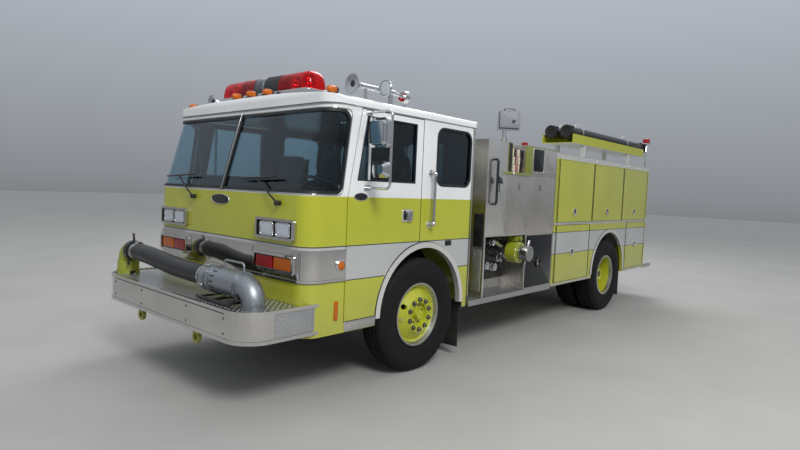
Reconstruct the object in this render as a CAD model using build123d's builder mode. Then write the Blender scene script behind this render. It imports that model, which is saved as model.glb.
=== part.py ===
from build123d import *
import math
import os

os.makedirs("parts", exist_ok=True)

# A cab-forward fire engine, modelled at full size in millimetres.
# The front faces -Y, the driver's side is +X, the tyres stand on Z = 0.

# Driving dimensions of the whole vehicle
LENGTH = 8360.0
HALF = 1220.0
FRONT = -LENGTH / 2
FRONT_AXLE = FRONT + 1945.0
REAR_AXLE = FRONT_AXLE + 4450.0
AXLE_Z = 543.0
GAP = 8.0

# Cab, with heights above the ground and stations from the front axle
CAB_FRONT = FRONT_AXLE - 1410.0
GLASS_TOP_FRONT = FRONT_AXLE - 1200.0
CAB_REAR = FRONT_AXLE + 751.0
DOOR_FRONT = FRONT_AXLE - 1000.0
DOOR_FRONT_TOP = FRONT_AXLE - 869.0
DOOR_REAR = FRONT_AXLE - 88.0
CAB_BOTTOM = 540.0
SILL = 630.0
BELT = 1650.0
GUTTER = 2383.0
DOOR_TOP = 2366.0
CORNER = 150.0
WALL = 45.0
STRIPE_LOW = 970.0
STRIPE_HIGH = 1225.0
ARCH_Z = 600.0
ARCH_R = 587.0
ARCH_TRIM = 52.0
WELL_INNER = 700.0
WELL_FRONT = FRONT_AXLE - 652.0
WELL_REAR = FRONT_AXLE + 672.0
WELL_TOP = 1196.0
LINER = 9.0
NOTCH = 480.0
ENGINE_TOP = 1140.0
BARREL = 5.0
GLASS = 8.0
GASKET = 24.0
SCREEN_LOW = BELT + 12.0
SCREEN_HIGH = 2338.0
SCREEN_REAR_LOW = FRONT_AXLE - 1072.0
SCREEN_REAR_HIGH = FRONT_AXLE - 985.0
SCREEN_R = 85.0
WINDOW_LOW = 1788.0
WINDOW_HIGH = 2312.0
WINDOW_FRONT_LOW = FRONT_AXLE - 902.0
WINDOW_FRONT_HIGH = FRONT_AXLE - 810.0
WINDOW_REAR = FRONT_AXLE - 182.0

# Bumper
BUMPER_LOW = 568.0
BUMPER_HIGH = 810.0
BUMPER_CORNER = 230.0
BUMPER_REAR = FRONT_AXLE - 1270.0
RAIL_H = 26.0
RAIL_PROUD = 10.0
SHEET = 6.0

# Pump module and rear body
MODULE_FRONT = FRONT_AXLE + 999.0
BODY_FRONT = FRONT_AXLE + 2580.0
BODY_REAR = FRONT_AXLE + 6028.0
MODULE_TOP = 2300.0
BODY_TOP = 2275.0
BODY_LOW = 550.0
DOOR_LINE = 1367.0
UPPER_TOP = 2200.0
UPPER_SPLITS = (FRONT_AXLE + 2660, FRONT_AXLE + 3762, FRONT_AXLE + 4891, FRONT_AXLE + 5980)
REAR_ARCH_R = 600.0
REAR_TRIM = 48.0
LOCKER_BACK = 560.0
SKIN = 40.0
PLATE = 20.0
STEP_TOP = 585.0

# Running gear
RAIL_IN = 380.0
RAIL_OUT = 460.0
RAIL_LOW = 680.0
RAIL_HIGH = 930.0
TYRE_R = 543.0
TYRE_HALF = 140.0
BEAD_R = 286.0
FLANGE_R = 301.0
RIM_HALF = 115.0
FRONT_WHEEL_X = 1060.0
REAR_WHEEL_X = 1072.0
TWIN_SPACING = 330.0
KINGPIN_X = 880.0


def save(builder, name):
    """Labels a finished piece and writes its file."""
    builder.part.label = name
    export_step(builder.part, f"parts/{name}.step")


def save_pair(builder, name):
    """Writes the driver's side piece and its mirror image on the other side."""
    save(builder, f"{name}_left")
    with BuildPart() as other:
        mirror(builder.part, about=Plane.YZ)
    save(other, f"{name}_right")


def save_both(builder, name):
    """Writes one file with the driver's side piece and its mirror image."""
    with BuildPart() as both:
        add(builder.part)
        mirror(builder.part, about=Plane.YZ)
    save(both, name)


def save_group(builders, name):
    """Writes one file with several pieces that touch and stay separate solids."""
    group = Compound([solid for builder in builders for solid in builder.part.solids()])
    group.label = name
    export_step(group, f"parts/{name}.step")


def block(x, y, z, mode=Mode.ADD):
    """A box between the two limits on each axis."""
    centre = ((x[0] + x[1]) / 2, (y[0] + y[1]) / 2, (z[0] + z[1]) / 2)
    with Locations(centre):
        Box(x[1] - x[0], y[1] - y[0], z[1] - z[0], mode=mode)


def rod(start, end, radius, mode=Mode.ADD):
    """A round bar from one point to another."""
    run = Vector(*end) - Vector(*start)
    with Locations(Plane(origin=Vector(*start) + run * 0.5, z_dir=run.normalized())):
        Cylinder(radius, run.length, mode=mode)


def tube_path(points, radii, radius, bore=0.0):
    """A round bar, or tube, bent along straight runs with tangent arcs."""
    with BuildLine() as route:
        FilletPolyline(*points, radius=radii)
    with BuildSketch(Plane(origin=points[0], z_dir=route.line % 0)) as section:
        Circle(radius)
        if bore:
            Circle(bore, mode=Mode.SUBTRACT)
    sweep(section.sketch, path=route.line)


def side_face(points, mode=Mode.ADD):
    """A closed outline on the current side-view sketch, from (y, z) points."""
    Polygon(*points, align=None, mode=mode)


def cab_section(height, front, inset):
    """The cab's plan outline at one height, set in from the outer skin."""
    with BuildSketch(Plane.XY.offset(height)) as plan:
        length = CAB_REAR - front - 2 * inset
        with Locations((0, front + inset + length / 2)):
            Rectangle(2 * (HALF - inset), length)
        fillet(plan.vertices().group_by(Axis.Y)[0], CORNER - inset)
        fillet(plan.vertices().group_by(Axis.Y)[-1], max(60.0 - inset, 8.0))
    return plan.sketch


def cab_solid(inset, low=CAB_BOTTOM, high=GUTTER):
    """The cab's outer form: upright up to the belt, the screen leaning back above."""
    lean = (GLASS_TOP_FRONT - CAB_FRONT) / (GUTTER - BELT)
    with BuildPart() as form:
        extrude(cab_section(low, CAB_FRONT, inset), amount=BELT - low)
        top = cab_section(high, CAB_FRONT + lean * (high - BELT), inset)
        loft([cab_section(BELT, CAB_FRONT, inset), top])
    return form.part


def screen_opening(edge):
    """The windscreen's side-view outline, set in by edge, cut across the whole cab."""
    with BuildPart() as prism:
        with BuildSketch(Plane.YZ.offset(-HALF - 50)) as outline:
            side_face([(CAB_FRONT - 200, SCREEN_LOW + edge), (SCREEN_REAR_LOW - edge, SCREEN_LOW + edge),
                       (SCREEN_REAR_HIGH - edge, SCREEN_HIGH - edge), (CAB_FRONT - 200, SCREEN_HIGH - edge)])
            fillet(outline.vertices().group_by(Axis.X)[1:], SCREEN_R - edge / 2)
        extrude(amount=2 * HALF + 100)
    return prism.part


def door_outline(grow):
    """The cab door's side-view outline, grown all round, on the current sketch."""
    side_face([(DOOR_FRONT - grow, SILL - grow), (DOOR_FRONT - grow, BELT),
               (DOOR_FRONT_TOP - grow, DOOR_TOP + grow), (DOOR_REAR + grow, DOOR_TOP + grow),
               (DOOR_REAR + grow, SILL - grow)])
    with Locations((FRONT_AXLE, ARCH_Z)):
        Circle(ARCH_R + ARCH_TRIM + GAP - grow, mode=Mode.SUBTRACT)


def window_face(centre, size, radius):
    """A round-cornered window on the current sketch."""
    with Locations(centre):
        RectangleRounded(size[0], size[1], radius)


def door_window(mode=Mode.ADD):
    """The cab door's glass outline, following the leaning front pillar."""
    side_face([(WINDOW_FRONT_LOW, WINDOW_LOW), (WINDOW_FRONT_HIGH, WINDOW_HIGH), (WINDOW_REAR, WINDOW_HIGH),
               (WINDOW_REAR, WINDOW_LOW)], mode=mode)


REAR_WINDOW = ((FRONT_AXLE + 405, 2049), (548, 540), 90)
BACK_WINDOWS = [((side * 560, 2030), (560, 430), 60) for side in (-1, 1)]

outer_cab = cab_solid(0)
inner_cab = cab_solid(WALL, low=CAB_BOTTOM - 10, high=GUTTER)

with BuildPart() as cab_shell:
    add(outer_cab)
    add(inner_cab, mode=Mode.SUBTRACT)
    add(screen_opening(0), mode=Mode.SUBTRACT)
    with BuildSketch(Plane.YZ.offset(-HALF - 20)):
        with Locations((FRONT_AXLE, ARCH_Z)):
            Circle(ARCH_R + ARCH_TRIM)
        with Locations((FRONT_AXLE, ARCH_Z - 150)):
            Rectangle(2 * (ARCH_R + ARCH_TRIM), 300)
    extrude(amount=2 * HALF + 40, mode=Mode.SUBTRACT)
    with BuildSketch(Plane.YZ.offset(-HALF - 20)):
        door_outline(GAP)
    extrude(amount=2 * HALF + 40, mode=Mode.SUBTRACT)
    with BuildSketch(Plane.YZ.offset(-HALF - 20)):
        window_face(*REAR_WINDOW)
    extrude(amount=2 * HALF + 40, mode=Mode.SUBTRACT)
    with BuildSketch(Plane.XZ.offset(-CAB_REAR - 20)):
        for window in BACK_WINDOWS:
            window_face(*window)
    extrude(amount=WALL + 60, mode=Mode.SUBTRACT)

# The front panel with its corner posts, the two side panels and the rear wall
with BuildPart() as cab_front:
    add(cab_shell.part)
    block((-1300, 1300), (CAB_FRONT - 50, FRONT_AXLE - 500), (500, 2500), mode=Mode.INTERSECT)
    block((-NOTCH, NOTCH), (CAB_FRONT - 10, CAB_FRONT + WALL + 10), (CAB_BOTTOM - 10, BUMPER_HIGH - 5),
          mode=Mode.SUBTRACT)
save(cab_front, "cab_front")

with BuildPart() as cab_rear:
    add(cab_shell.part)
    block((-HALF + 60, HALF - 60), (CAB_REAR - WALL - 1, CAB_REAR + 10), (500, 2500), mode=Mode.INTERSECT)
    block((-NOTCH, NOTCH), (CAB_REAR - WALL - 10, CAB_REAR + 10), (CAB_BOTTOM - 10, ENGINE_TOP),
          mode=Mode.SUBTRACT)
save(cab_rear, "cab_rear")

with BuildPart() as cab_side:
    add(cab_shell.part)
    block((HALF - 60, HALF + 20), (FRONT_AXLE - 500, CAB_REAR + 10), (500, 2500), mode=Mode.INTERSECT)
save_both(cab_side, "cab_sides")

# Wheel arch: the bright ring in the cab's side and the liner over the tyre
with BuildPart() as arch:
    with BuildSketch(Plane.YZ.offset(HALF - WALL)):
        with Locations((FRONT_AXLE, ARCH_Z)):
            Circle(ARCH_R + ARCH_TRIM - 1)
            Circle(ARCH_R, mode=Mode.SUBTRACT)
        with Locations((FRONT_AXLE, ARCH_Z - 700)):
            Rectangle(1400, 1400, mode=Mode.SUBTRACT)
    extrude(amount=WALL + 10)
    with BuildSketch(Plane.YZ.offset(WELL_INNER)) as liner:
        for grow, mode in ((0, Mode.ADD), (-LINER, Mode.SUBTRACT)):
            side_face([(WELL_FRONT - grow, ARCH_Z), (WELL_FRONT - grow, 980),
                       (WELL_FRONT + 190 - grow / 2, WELL_TOP + grow),
                       (WELL_REAR - 190 + grow / 2, WELL_TOP + grow), (WELL_REAR + grow, 980),
                       (WELL_REAR + grow, ARCH_Z)], mode=mode)
    extrude(amount=HALF - WALL - WELL_INNER)
save_both(arch, "front_arches")

# Roof cap: a crowned top with a gutter lip all round
ROOF_FRONT = GLASS_TOP_FRONT - 22
ROOF_REAR = CAB_REAR + 100
ROOF_SIDE = HALF + 14
ROOF_EDGE = 2452.0
ROOF_CROWN = 2504.0
ROOF_ROUND = 40.0
with BuildPart() as roof:
    with BuildSketch(Plane.XZ.offset(-ROOF_REAR)):
        with BuildLine():
            edge = ROOF_SIDE - ROOF_ROUND
            low = ROOF_EDGE - ROOF_ROUND
            mid = 0.3 * ROOF_ROUND
            Line((-ROOF_SIDE, GUTTER), (ROOF_SIDE, GUTTER))
            Line((ROOF_SIDE, GUTTER), (ROOF_SIDE, low))
            ThreePointArc((ROOF_SIDE, low), (ROOF_SIDE - mid, ROOF_EDGE - mid), (edge, ROOF_EDGE))
            ThreePointArc((edge, ROOF_EDGE), (0, ROOF_CROWN), (-edge, ROOF_EDGE))
            ThreePointArc((-edge, ROOF_EDGE), (mid - ROOF_SIDE, ROOF_EDGE - mid), (-ROOF_SIDE, low))
            Line((-ROOF_SIDE, low), (-ROOF_SIDE, GUTTER))
        make_face()
    extrude(amount=ROOF_REAR - ROOF_FRONT)
    with BuildSketch(Plane.XY.offset(GUTTER)):
        with Locations((0, (ROOF_FRONT + ROOF_REAR) / 2)):
            RectangleRounded(2 * ROOF_SIDE, ROOF_REAR - ROOF_FRONT, CORNER)
    extrude(amount=200, mode=Mode.INTERSECT)
    with BuildSketch(Plane.YZ.offset(-ROOF_SIDE)) as side_view:
        side_face([(ROOF_FRONT, GUTTER), (ROOF_REAR, GUTTER), (ROOF_REAR, ROOF_CROWN),
                   (ROOF_FRONT, ROOF_CROWN)])
        fillet(side_view.vertices().group_by(Axis.Y)[-1], 60)
    extrude(amount=2 * ROOF_SIDE, mode=Mode.INTERSECT)
save(roof, "cab_roof")

# Cab floor, in the panels that the real one is welded from: a toe board, the footwells' floor
# between the entry steps, each step's tread and inner wall, a raised floor over the wheels, and the
# engine's cover standing on the floors
FLOOR_LOW = 945.0
FLOOR_HIGH = 1205.0
FLOOR_T = 30.0
STEP_IN = 950.0
STEP_REAR = FRONT_AXLE - 700.0
RISER = FRONT_AXLE - 690.0
COVER_HALF = 420.0
COVER_TOP = 1640.0
COVER_FRONT = FRONT_AXLE - 900.0
COVER_REAR = FRONT_AXLE + 500.0
FLOOR_HALF = HALF - WALL - GAP
with BuildPart() as toe_board:
    block((-FLOOR_HALF, FLOOR_HALF), (CAB_FRONT + WALL, DOOR_FRONT), (FLOOR_LOW, FLOOR_LOW + FLOOR_T))
    add(inner_cab, mode=Mode.INTERSECT)

with BuildPart() as footwell_floor:
    block((-STEP_IN, STEP_IN), (DOOR_FRONT, RISER), (FLOOR_LOW, FLOOR_LOW + FLOOR_T))

with BuildPart() as step_treads:
    for side in (-1, 1):
        x = sorted((side * STEP_IN, side * FLOOR_HALF))
        block(x, (DOOR_FRONT + 20, STEP_REAR), (SILL + 10, SILL + FLOOR_T))

with BuildPart() as step_walls:
    for side in (-1, 1):
        x = sorted((side * (STEP_IN - PLATE), side * STEP_IN))
        block(x, (DOOR_FRONT + 20, STEP_REAR), (SILL + 10, FLOOR_LOW))

with BuildPart() as raised_floor:
    block((-FLOOR_HALF, FLOOR_HALF), (RISER, RISER + FLOOR_T), (FLOOR_LOW, FLOOR_HIGH))
    block((-FLOOR_HALF, FLOOR_HALF), (RISER, CAB_REAR - WALL), (FLOOR_HIGH, FLOOR_HIGH + FLOOR_T))
    block((-HALF + WALL, HALF - WALL), (DOOR_REAR + GAP, CAB_REAR - WALL), (FLOOR_HIGH, FLOOR_HIGH + FLOOR_T))
    add(inner_cab, mode=Mode.INTERSECT)

with BuildPart() as engine_cover:
    block((-COVER_HALF, COVER_HALF), (COVER_FRONT, COVER_REAR), (FLOOR_HIGH + FLOOR_T, COVER_TOP))
    block((-COVER_HALF, COVER_HALF), (COVER_FRONT, RISER), (FLOOR_LOW + FLOOR_T, FLOOR_HIGH + FLOOR_T))
save_group((toe_board, footwell_floor, step_treads, step_walls, raised_floor, engine_cover), "cab_floor")

# Glass: the curved windscreen and its rubber, the fixed side and back panes
with BuildPart() as pane_prism:
    add(screen_opening(GASKET))
    block((-16, 16), (CAB_FRONT - 300, FRONT_AXLE), (BELT, GUTTER), mode=Mode.SUBTRACT)

with BuildPart() as screen_rubber:
    add(cab_solid(-4))
    add(cab_solid(2 * GLASS + 8), mode=Mode.SUBTRACT)
    add(screen_opening(0), mode=Mode.INTERSECT)
    add(pane_prism.part, mode=Mode.SUBTRACT)
save(screen_rubber, "windscreen_rubber")

with BuildPart() as cab_glass:
    add(cab_solid(GLASS))
    add(cab_solid(2 * GLASS), mode=Mode.SUBTRACT)
    add(pane_prism.part, mode=Mode.INTERSECT)
    for x in (HALF - 24, -HALF + 16):
        with BuildSketch(Plane.YZ.offset(x)):
            window_face(*REAR_WINDOW)
        extrude(amount=GLASS)
    with BuildSketch(Plane.XZ.offset(-CAB_REAR + 16)):
        for window in BACK_WINDOWS:
            window_face(*window)
    extrude(amount=GLASS)
save(cab_glass, "cab_glass")


def barrel(start, end):
    """A hinge's round barrel, centred on the line that its door turns about."""
    rod(start, end, BARREL)


# Cab doors, each with its window cut, handle and hinge barrels, then glass and mirrors
HINGE_X = HALF + 6.0
HANDLE_Y = FRONT_AXLE - 276.0
HANDLE_Z = 1492.0
VENT_BAR = (FRONT_AXLE - 790.0, FRONT_AXLE - 768.0)
with BuildPart() as cab_door:
    with BuildSketch(Plane.YZ.offset(HALF - WALL)):
        door_outline(0)
        door_window(mode=Mode.SUBTRACT)
    extrude(amount=WALL)
    with BuildSketch(Plane.YZ.offset(HALF)):
        with Locations((HANDLE_Y, HANDLE_Z)):
            RectangleRounded(136, 108, 14)
    extrude(amount=10)
    block((HALF + 10, HALF + 26), (HANDLE_Y - 46, HANDLE_Y + 48), (HANDLE_Z - 14, HANDLE_Z + 16))
    for low, high in ((660, 950), (1250, 1640)):
        block((HALF - 1, HALF + 4), (DOOR_FRONT - 4, DOOR_FRONT + 24), (low, high))
        barrel((HINGE_X, DOOR_FRONT - 4, low), (HINGE_X, DOOR_FRONT - 4, high))
save_pair(cab_door, "cab_door")

with BuildPart() as door_glass:
    with BuildSketch(Plane.YZ.offset(HALF - 26)):
        door_window()
    extrude(amount=GLASS)
    block((HALF - 34, HALF - 8), VENT_BAR, (WINDOW_LOW, WINDOW_HIGH))
save_pair(door_glass, "door_glass")

# Each mirror head: lowest and highest point, and inner edge
MIRROR_HEADS = ((2050, 2286, 1297), (1811, 1940, 1327))
MIRROR_Y = FRONT_AXLE - 820.0
MIRROR_OUT = 1500.0
MIRROR_RIM = 24.0
MIRROR_DEPTH = 58.0
MIRROR_TAPER = 56.0
BRACKET_Y = MIRROR_Y + 22.0
BRACKET_X = 1482.0
BRACKET_Z = (1725.0, 2346.0)
with BuildPart() as mirrors:
    for low, high, x0 in MIRROR_HEADS:
        centre = ((x0 + MIRROR_OUT) / 2, (low + high) / 2)
        with BuildSketch(Plane.XZ.offset(-MIRROR_Y)):
            with Locations(centre):
                RectangleRounded(MIRROR_OUT - x0, high - low, 34)
        extrude(amount=MIRROR_RIM)
        with BuildSketch(Plane.XZ.offset(MIRROR_RIM - MIRROR_Y)) as rim:
            with Locations(centre):
                RectangleRounded(MIRROR_OUT - x0, high - low, 34)
        with BuildSketch(Plane.XZ.offset(MIRROR_DEPTH - MIRROR_Y)) as back:
            with Locations(centre):
                RectangleRounded(MIRROR_OUT - x0 - MIRROR_TAPER, high - low - MIRROR_TAPER, 22)
        loft([rim.sketch, back.sketch])
        z = centre[1]
        block((1440, 1490), (MIRROR_Y - 4, MIRROR_Y + 30), (z - 14, z + 14))
    tube_path([(HALF + 2, BRACKET_Y, BRACKET_Z[1]), (BRACKET_X, BRACKET_Y, BRACKET_Z[1]),
               (BRACKET_X, BRACKET_Y, BRACKET_Z[0]), (HALF + 2, BRACKET_Y, BRACKET_Z[0])], 40, 11)
    for z in BRACKET_Z:
        block((HALF, HALF + 8), (BRACKET_Y - 32, BRACKET_Y + 32), (z - 22, z + 22))
save_pair(mirrors, "mirrors")

# Bright band across the cab's front, wrapped round both corners to the doors.
# Lamp bezels: inner and outer edge, lowest and highest point.
LAMPS = ((583, 1091, 1285, 1455), (560, 1098, 1020, 1178))
BEZEL = 22.0
BEZEL_DEPTH = 34.0
BAND_SKIN = 6.0
BAND_TRIM = 14.0
TRIM_H = 18.0
with BuildPart() as front_band:
    for inset, low, high in ((-BAND_SKIN, STRIPE_LOW, STRIPE_HIGH),
                             (-BAND_TRIM, STRIPE_LOW, STRIPE_LOW + TRIM_H),
                             (-BAND_TRIM, STRIPE_HIGH - TRIM_H, STRIPE_HIGH)):
        extrude(cab_section(low, CAB_FRONT, inset), amount=high - low)
    extrude(cab_section(STRIPE_LOW, CAB_FRONT, 0), amount=STRIPE_HIGH - STRIPE_LOW, mode=Mode.SUBTRACT)
    block((-1300, 1300), (CAB_FRONT - 50, DOOR_FRONT - GAP), (STRIPE_LOW, STRIPE_HIGH), mode=Mode.INTERSECT)
    for x0, x1, z0, z1 in LAMPS:
        for side in (-1, 1):
            with BuildSketch(Plane.XZ.offset(-CAB_FRONT)):
                with Locations((side * (x0 + x1) / 2, (z0 + z1) / 2)):
                    RectangleRounded(x1 - x0, z1 - z0, 26)
            extrude(amount=BEZEL_DEPTH)
            with BuildSketch(Plane.XZ.offset(8 - CAB_FRONT)):
                with Locations((side * (x0 + x1) / 2, (z0 + z1) / 2)):
                    RectangleRounded(x1 - x0 - 2 * BEZEL, z1 - z0 - 2 * BEZEL, 12)
            extrude(amount=BEZEL_DEPTH + 6, mode=Mode.SUBTRACT)
save(front_band, "front_band")

# Bumper: a polished wrap with rolled top and bottom rails, then plain sides
def bumper_path(inset):
    """The bumper's plan outline, set in from its outer face, on the current sketch."""
    length = BUMPER_REAR - FRONT
    with Locations((0, FRONT + inset + (length - inset) / 2)):
        outline = Rectangle(2 * (HALF - inset), length - inset)
    fillet(outline.vertices().group_by(Axis.Y)[0], BUMPER_CORNER - inset)


with BuildPart() as bumper:
    for low, high, inset in ((BUMPER_LOW, BUMPER_HIGH, RAIL_PROUD), (BUMPER_LOW, BUMPER_LOW + RAIL_H, 0),
                             (BUMPER_HIGH - RAIL_H, BUMPER_HIGH, 0)):
        with BuildSketch(Plane.XY.offset(low)):
            bumper_path(inset)
        extrude(amount=high - low)
    with BuildSketch(Plane.XY.offset(BUMPER_LOW)):
        back = RAIL_PROUD + SHEET
        length = BUMPER_REAR - FRONT + 50
        with Locations((0, FRONT + back + length / 2)):
            inner = Rectangle(2 * (HALF - back), length)
        fillet(inner.vertices().group_by(Axis.Y)[0], BUMPER_CORNER - back)
    extrude(amount=BUMPER_HIGH - BUMPER_LOW, mode=Mode.SUBTRACT)
    extrude(cab_section(BUMPER_LOW - 5, CAB_FRONT, 0), amount=BUMPER_HIGH - BUMPER_LOW + 10,
            mode=Mode.SUBTRACT)
save(bumper, "bumper")

DECK_TOP = 796.0
CRADLE_Y = (FRONT_AXLE - 1856, FRONT_AXLE - 1626)
CRADLE_R = 12.0
with BuildPart() as bumper_deck:
    with BuildSketch(Plane.XY.offset(DECK_TOP - SHEET)):
        with Locations((0, (FRONT + 17 + CAB_FRONT) / 2)):
            plate = Rectangle(2 * (HALF - 17), CAB_FRONT - FRONT - 17)
        fillet(plate.vertices().group_by(Axis.Y)[0], BUMPER_CORNER - 17)
    extrude(amount=SHEET)
    for y in CRADLE_Y:
        tube_path([(420, y, DECK_TOP + 20), (900, y, DECK_TOP + 20), (985, y, DECK_TOP + 84)], 60, CRADLE_R)
    for x in (460, 640, 860):
        rod((x, CRADLE_Y[0], DECK_TOP + 20), (x, CRADLE_Y[1], DECK_TOP + 20), CRADLE_R - 3)
        for y in CRADLE_Y:
            rod((x, y, DECK_TOP - 2), (x, y, DECK_TOP + 20), CRADLE_R - 4)
save(bumper_deck, "bumper_deck")

# Hoses of black rubber: the front suction, and the two carried above the lockers
SUCTION_X = -1065.0
SUCTION_Y = FRONT_AXLE - 1775.0
ELBOW_TURN = 104.0
HOSE_START = SUCTION_X + ELBOW_TURN + 60
HOSE_R = 82.0
HOSE_ROUTE = [(HOSE_START - 20, SUCTION_Y, 1030), (-620, SUCTION_Y + 4, 1020), (-140, SUCTION_Y + 26, 968),
              (415, SUCTION_Y + 42, 950)]
RACK_X = (800.0, 1030.0)
SUCTION_Z = 2615.0
SUCTION_ENDS = (FRONT_AXLE + 3180, FRONT_AXLE + 6120)
SUCTION_R = 74.0
CUFF = 90.0
with BuildPart() as suction_hoses:
    tube_path(HOSE_ROUTE, 900, HOSE_R)
    for x in RACK_X:
        rod((x, SUCTION_ENDS[0], SUCTION_Z), (x, SUCTION_ENDS[1], SUCTION_Z), SUCTION_R)
        for y in (SUCTION_ENDS[0], SUCTION_ENDS[1] - CUFF):
            rod((x, y, SUCTION_Z), (x, y + CUFF, SUCTION_Z), 90)
save(suction_hoses, "suction_hoses")

# Front suction: swivel base and elbow at one end of the hose, coupling and strainer at the other
STRAINER_Y = SUCTION_Y + 42
STRAINER_Z = 950.0
STRAINER_TURN = 112.0
STRAINER_RINGS = ((70, 106), (36, 98), (34, 112), (330, 100), (24, 110), (20, 96))
with BuildPart() as suction_fittings:
    with BuildSketch(Plane.XY.offset(DECK_TOP)):
        with Locations((SUCTION_X, SUCTION_Y)):
            Circle(105)
    extrude(amount=36)
    with BuildSketch(Plane.XY.offset(DECK_TOP + 36)):
        with Locations((SUCTION_X, SUCTION_Y)):
            Circle(98)
    extrude(amount=94)
    with BuildSketch(Plane.XY.offset(DECK_TOP + 130)):
        with Locations((SUCTION_X, SUCTION_Y)):
            Circle(88)
    revolve(axis=Axis((SUCTION_X + ELBOW_TURN, SUCTION_Y, DECK_TOP + 130), (0, 1, 0)), revolution_arc=90)
    rod((SUCTION_X + ELBOW_TURN - 1, SUCTION_Y, DECK_TOP + 234), (HOSE_START, SUCTION_Y, DECK_TOP + 234), 98)

    x = 395.0
    for length, radius in STRAINER_RINGS:
        rod((x, STRAINER_Y, STRAINER_Z), (x + length, STRAINER_Y, STRAINER_Z), radius)
        x += length
    with BuildSketch(Plane.YZ.offset(x)):
        with Locations((STRAINER_Y, STRAINER_Z)):
            Circle(90)
    revolve(axis=Axis((x, STRAINER_Y, STRAINER_Z - STRAINER_TURN), (0, 1, 0)), revolution_arc=90)
    x += STRAINER_TURN
    rod((x, STRAINER_Y, DECK_TOP + 1), (x, STRAINER_Y, STRAINER_Z - STRAINER_TURN + 1), 86)
    rod((x, STRAINER_Y, DECK_TOP + 1), (x, STRAINER_Y, DECK_TOP + 17), 92)
    tube_path([(620, STRAINER_Y, 1030), (620, STRAINER_Y, 1118), (890, STRAINER_Y, 1118),
               (890, STRAINER_Y, 1020)], 26, 9)
    add(suction_hoses.part, mode=Mode.SUBTRACT)
save(suction_fittings, "suction_fittings")

# Wipers: two arms from pivots below the screen, each with its blade
WIPERS = ((871, 1577), (-463, 1580))
LEAN = (GLASS_TOP_FRONT - CAB_FRONT) / (GUTTER - BELT)
with BuildPart() as wipers:
    for x, z in WIPERS:
        y = CAB_FRONT - 4
        rod((x, y + 4, z), (x, y - 34, z), 20)
        tip = (x - 330, CAB_FRONT - 34 + LEAN * 110, 1770)
        tube_path([(x, y - 26, z), (x - 90, y - 30, z + 60), tip], 60, 8)
        rod((x - 560, tip[1], 1762), (x - 60, tip[1], 1786), 9)
save(wipers, "wipers")

# Light bar: a low base with domes, and marker lamps along the roof's front edge
BAR_Y = FRONT_AXLE - 910.0
BAR_LOW = 2502.0
BAR_BASE = 42.0
BAR_DEPTH = 270.0
BAR_LENSES = ((-700, -300), (-296, 60), (64, 270), (274, 700))
DOME_HALF = 128.0
DOME_SIDE = 70.0
DOME_HEIGHT = 165.0
with BuildPart() as lightbar:
    with BuildSketch(Plane.XY.offset(BAR_LOW + 18)):
        with Locations((0, BAR_Y)):
            RectangleRounded(BAR_LENSES[-1][1] - BAR_LENSES[0][0], BAR_DEPTH, 60)
    extrude(amount=BAR_BASE)
    for side in (-1, 1):
        block((side * 500 - 40, side * 500 + 40), (BAR_Y - 60, BAR_Y + 60), (BAR_LOW - 12, BAR_LOW + 20))
    for x0, x1 in BAR_LENSES:
        with BuildSketch(Plane.YZ.offset(x0)):
            with BuildLine():
                z = BAR_LOW + 18 + BAR_BASE
                side = DOME_HALF - 4
                Line((BAR_Y - DOME_HALF, z), (BAR_Y + DOME_HALF, z))
                Line((BAR_Y + DOME_HALF, z), (BAR_Y + side, z + DOME_SIDE))
                ThreePointArc((BAR_Y + side, z + DOME_SIDE), (BAR_Y, z + DOME_HEIGHT),
                              (BAR_Y - side, z + DOME_SIDE))
                Line((BAR_Y - side, z + DOME_SIDE), (BAR_Y - DOME_HALF, z))
            make_face()
        extrude(amount=x1 - x0)
    add(roof.part, mode=Mode.SUBTRACT)
save(lightbar, "lightbar")

# Lamp lenses: head and signal lamps in their bezels, roof markers, rear lamps
MARKERS = [(x, FRONT_AXLE - 1130 + abs(x) * 0.02) for x in (-1097, -250, 0, 250, 1097)]
LENS_FACE = 14.0
TAIL_X = 890.0
TAIL_Z = (1150.0, 1270.0)
BEACON_X = 1172.0
BEACON_Y = BODY_REAR - 85.0
BEACON_Z = (2665.0, 2760.0)
with BuildPart() as lamps:
    for x0, x1, z0, z1 in LAMPS:
        for side in (-1, 1):
            for half in (-1, 1):
                with BuildSketch(Plane.XZ.offset(8 - CAB_FRONT)):
                    opening = x1 - x0 - 2 * BEZEL
                    with Locations((side * (x0 + x1) / 2 + half * opening / 4, (z0 + z1) / 2)):
                        RectangleRounded(opening / 2 - 10, z1 - z0 - 2 * BEZEL - 8, 10)
                extrude(amount=LENS_FACE)
    for x, y in MARKERS:
        height = ROOF_EDGE + (ROOF_CROWN - ROOF_EDGE) * (1 - (x / (ROOF_SIDE - ROOF_ROUND)) ** 2) - 6
        with Locations((x, y, height + 24)):
            Cylinder(radius=24, height=90, rotation=(90, 0, 0))
        block((x - 26, x + 26), (y - 42, y + 42), (height, height + 24))
    for side in (-1, 1):
        for z in TAIL_Z:
            x = side * TAIL_X
            block((x - 150, x + 150), (BODY_REAR, BODY_REAR + 34), (z - 52, z + 52))
        x = side * BEACON_X
        rod((x, BEACON_Y, BODY_TOP), (x, BEACON_Y, BEACON_Z[0] + 1), 14)
        block((x - 48, x + 48), (BEACON_Y - 65, BEACON_Y + 65), BEACON_Z)
    add(roof.part, mode=Mode.SUBTRACT)
save(lamps, "lamps")

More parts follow.
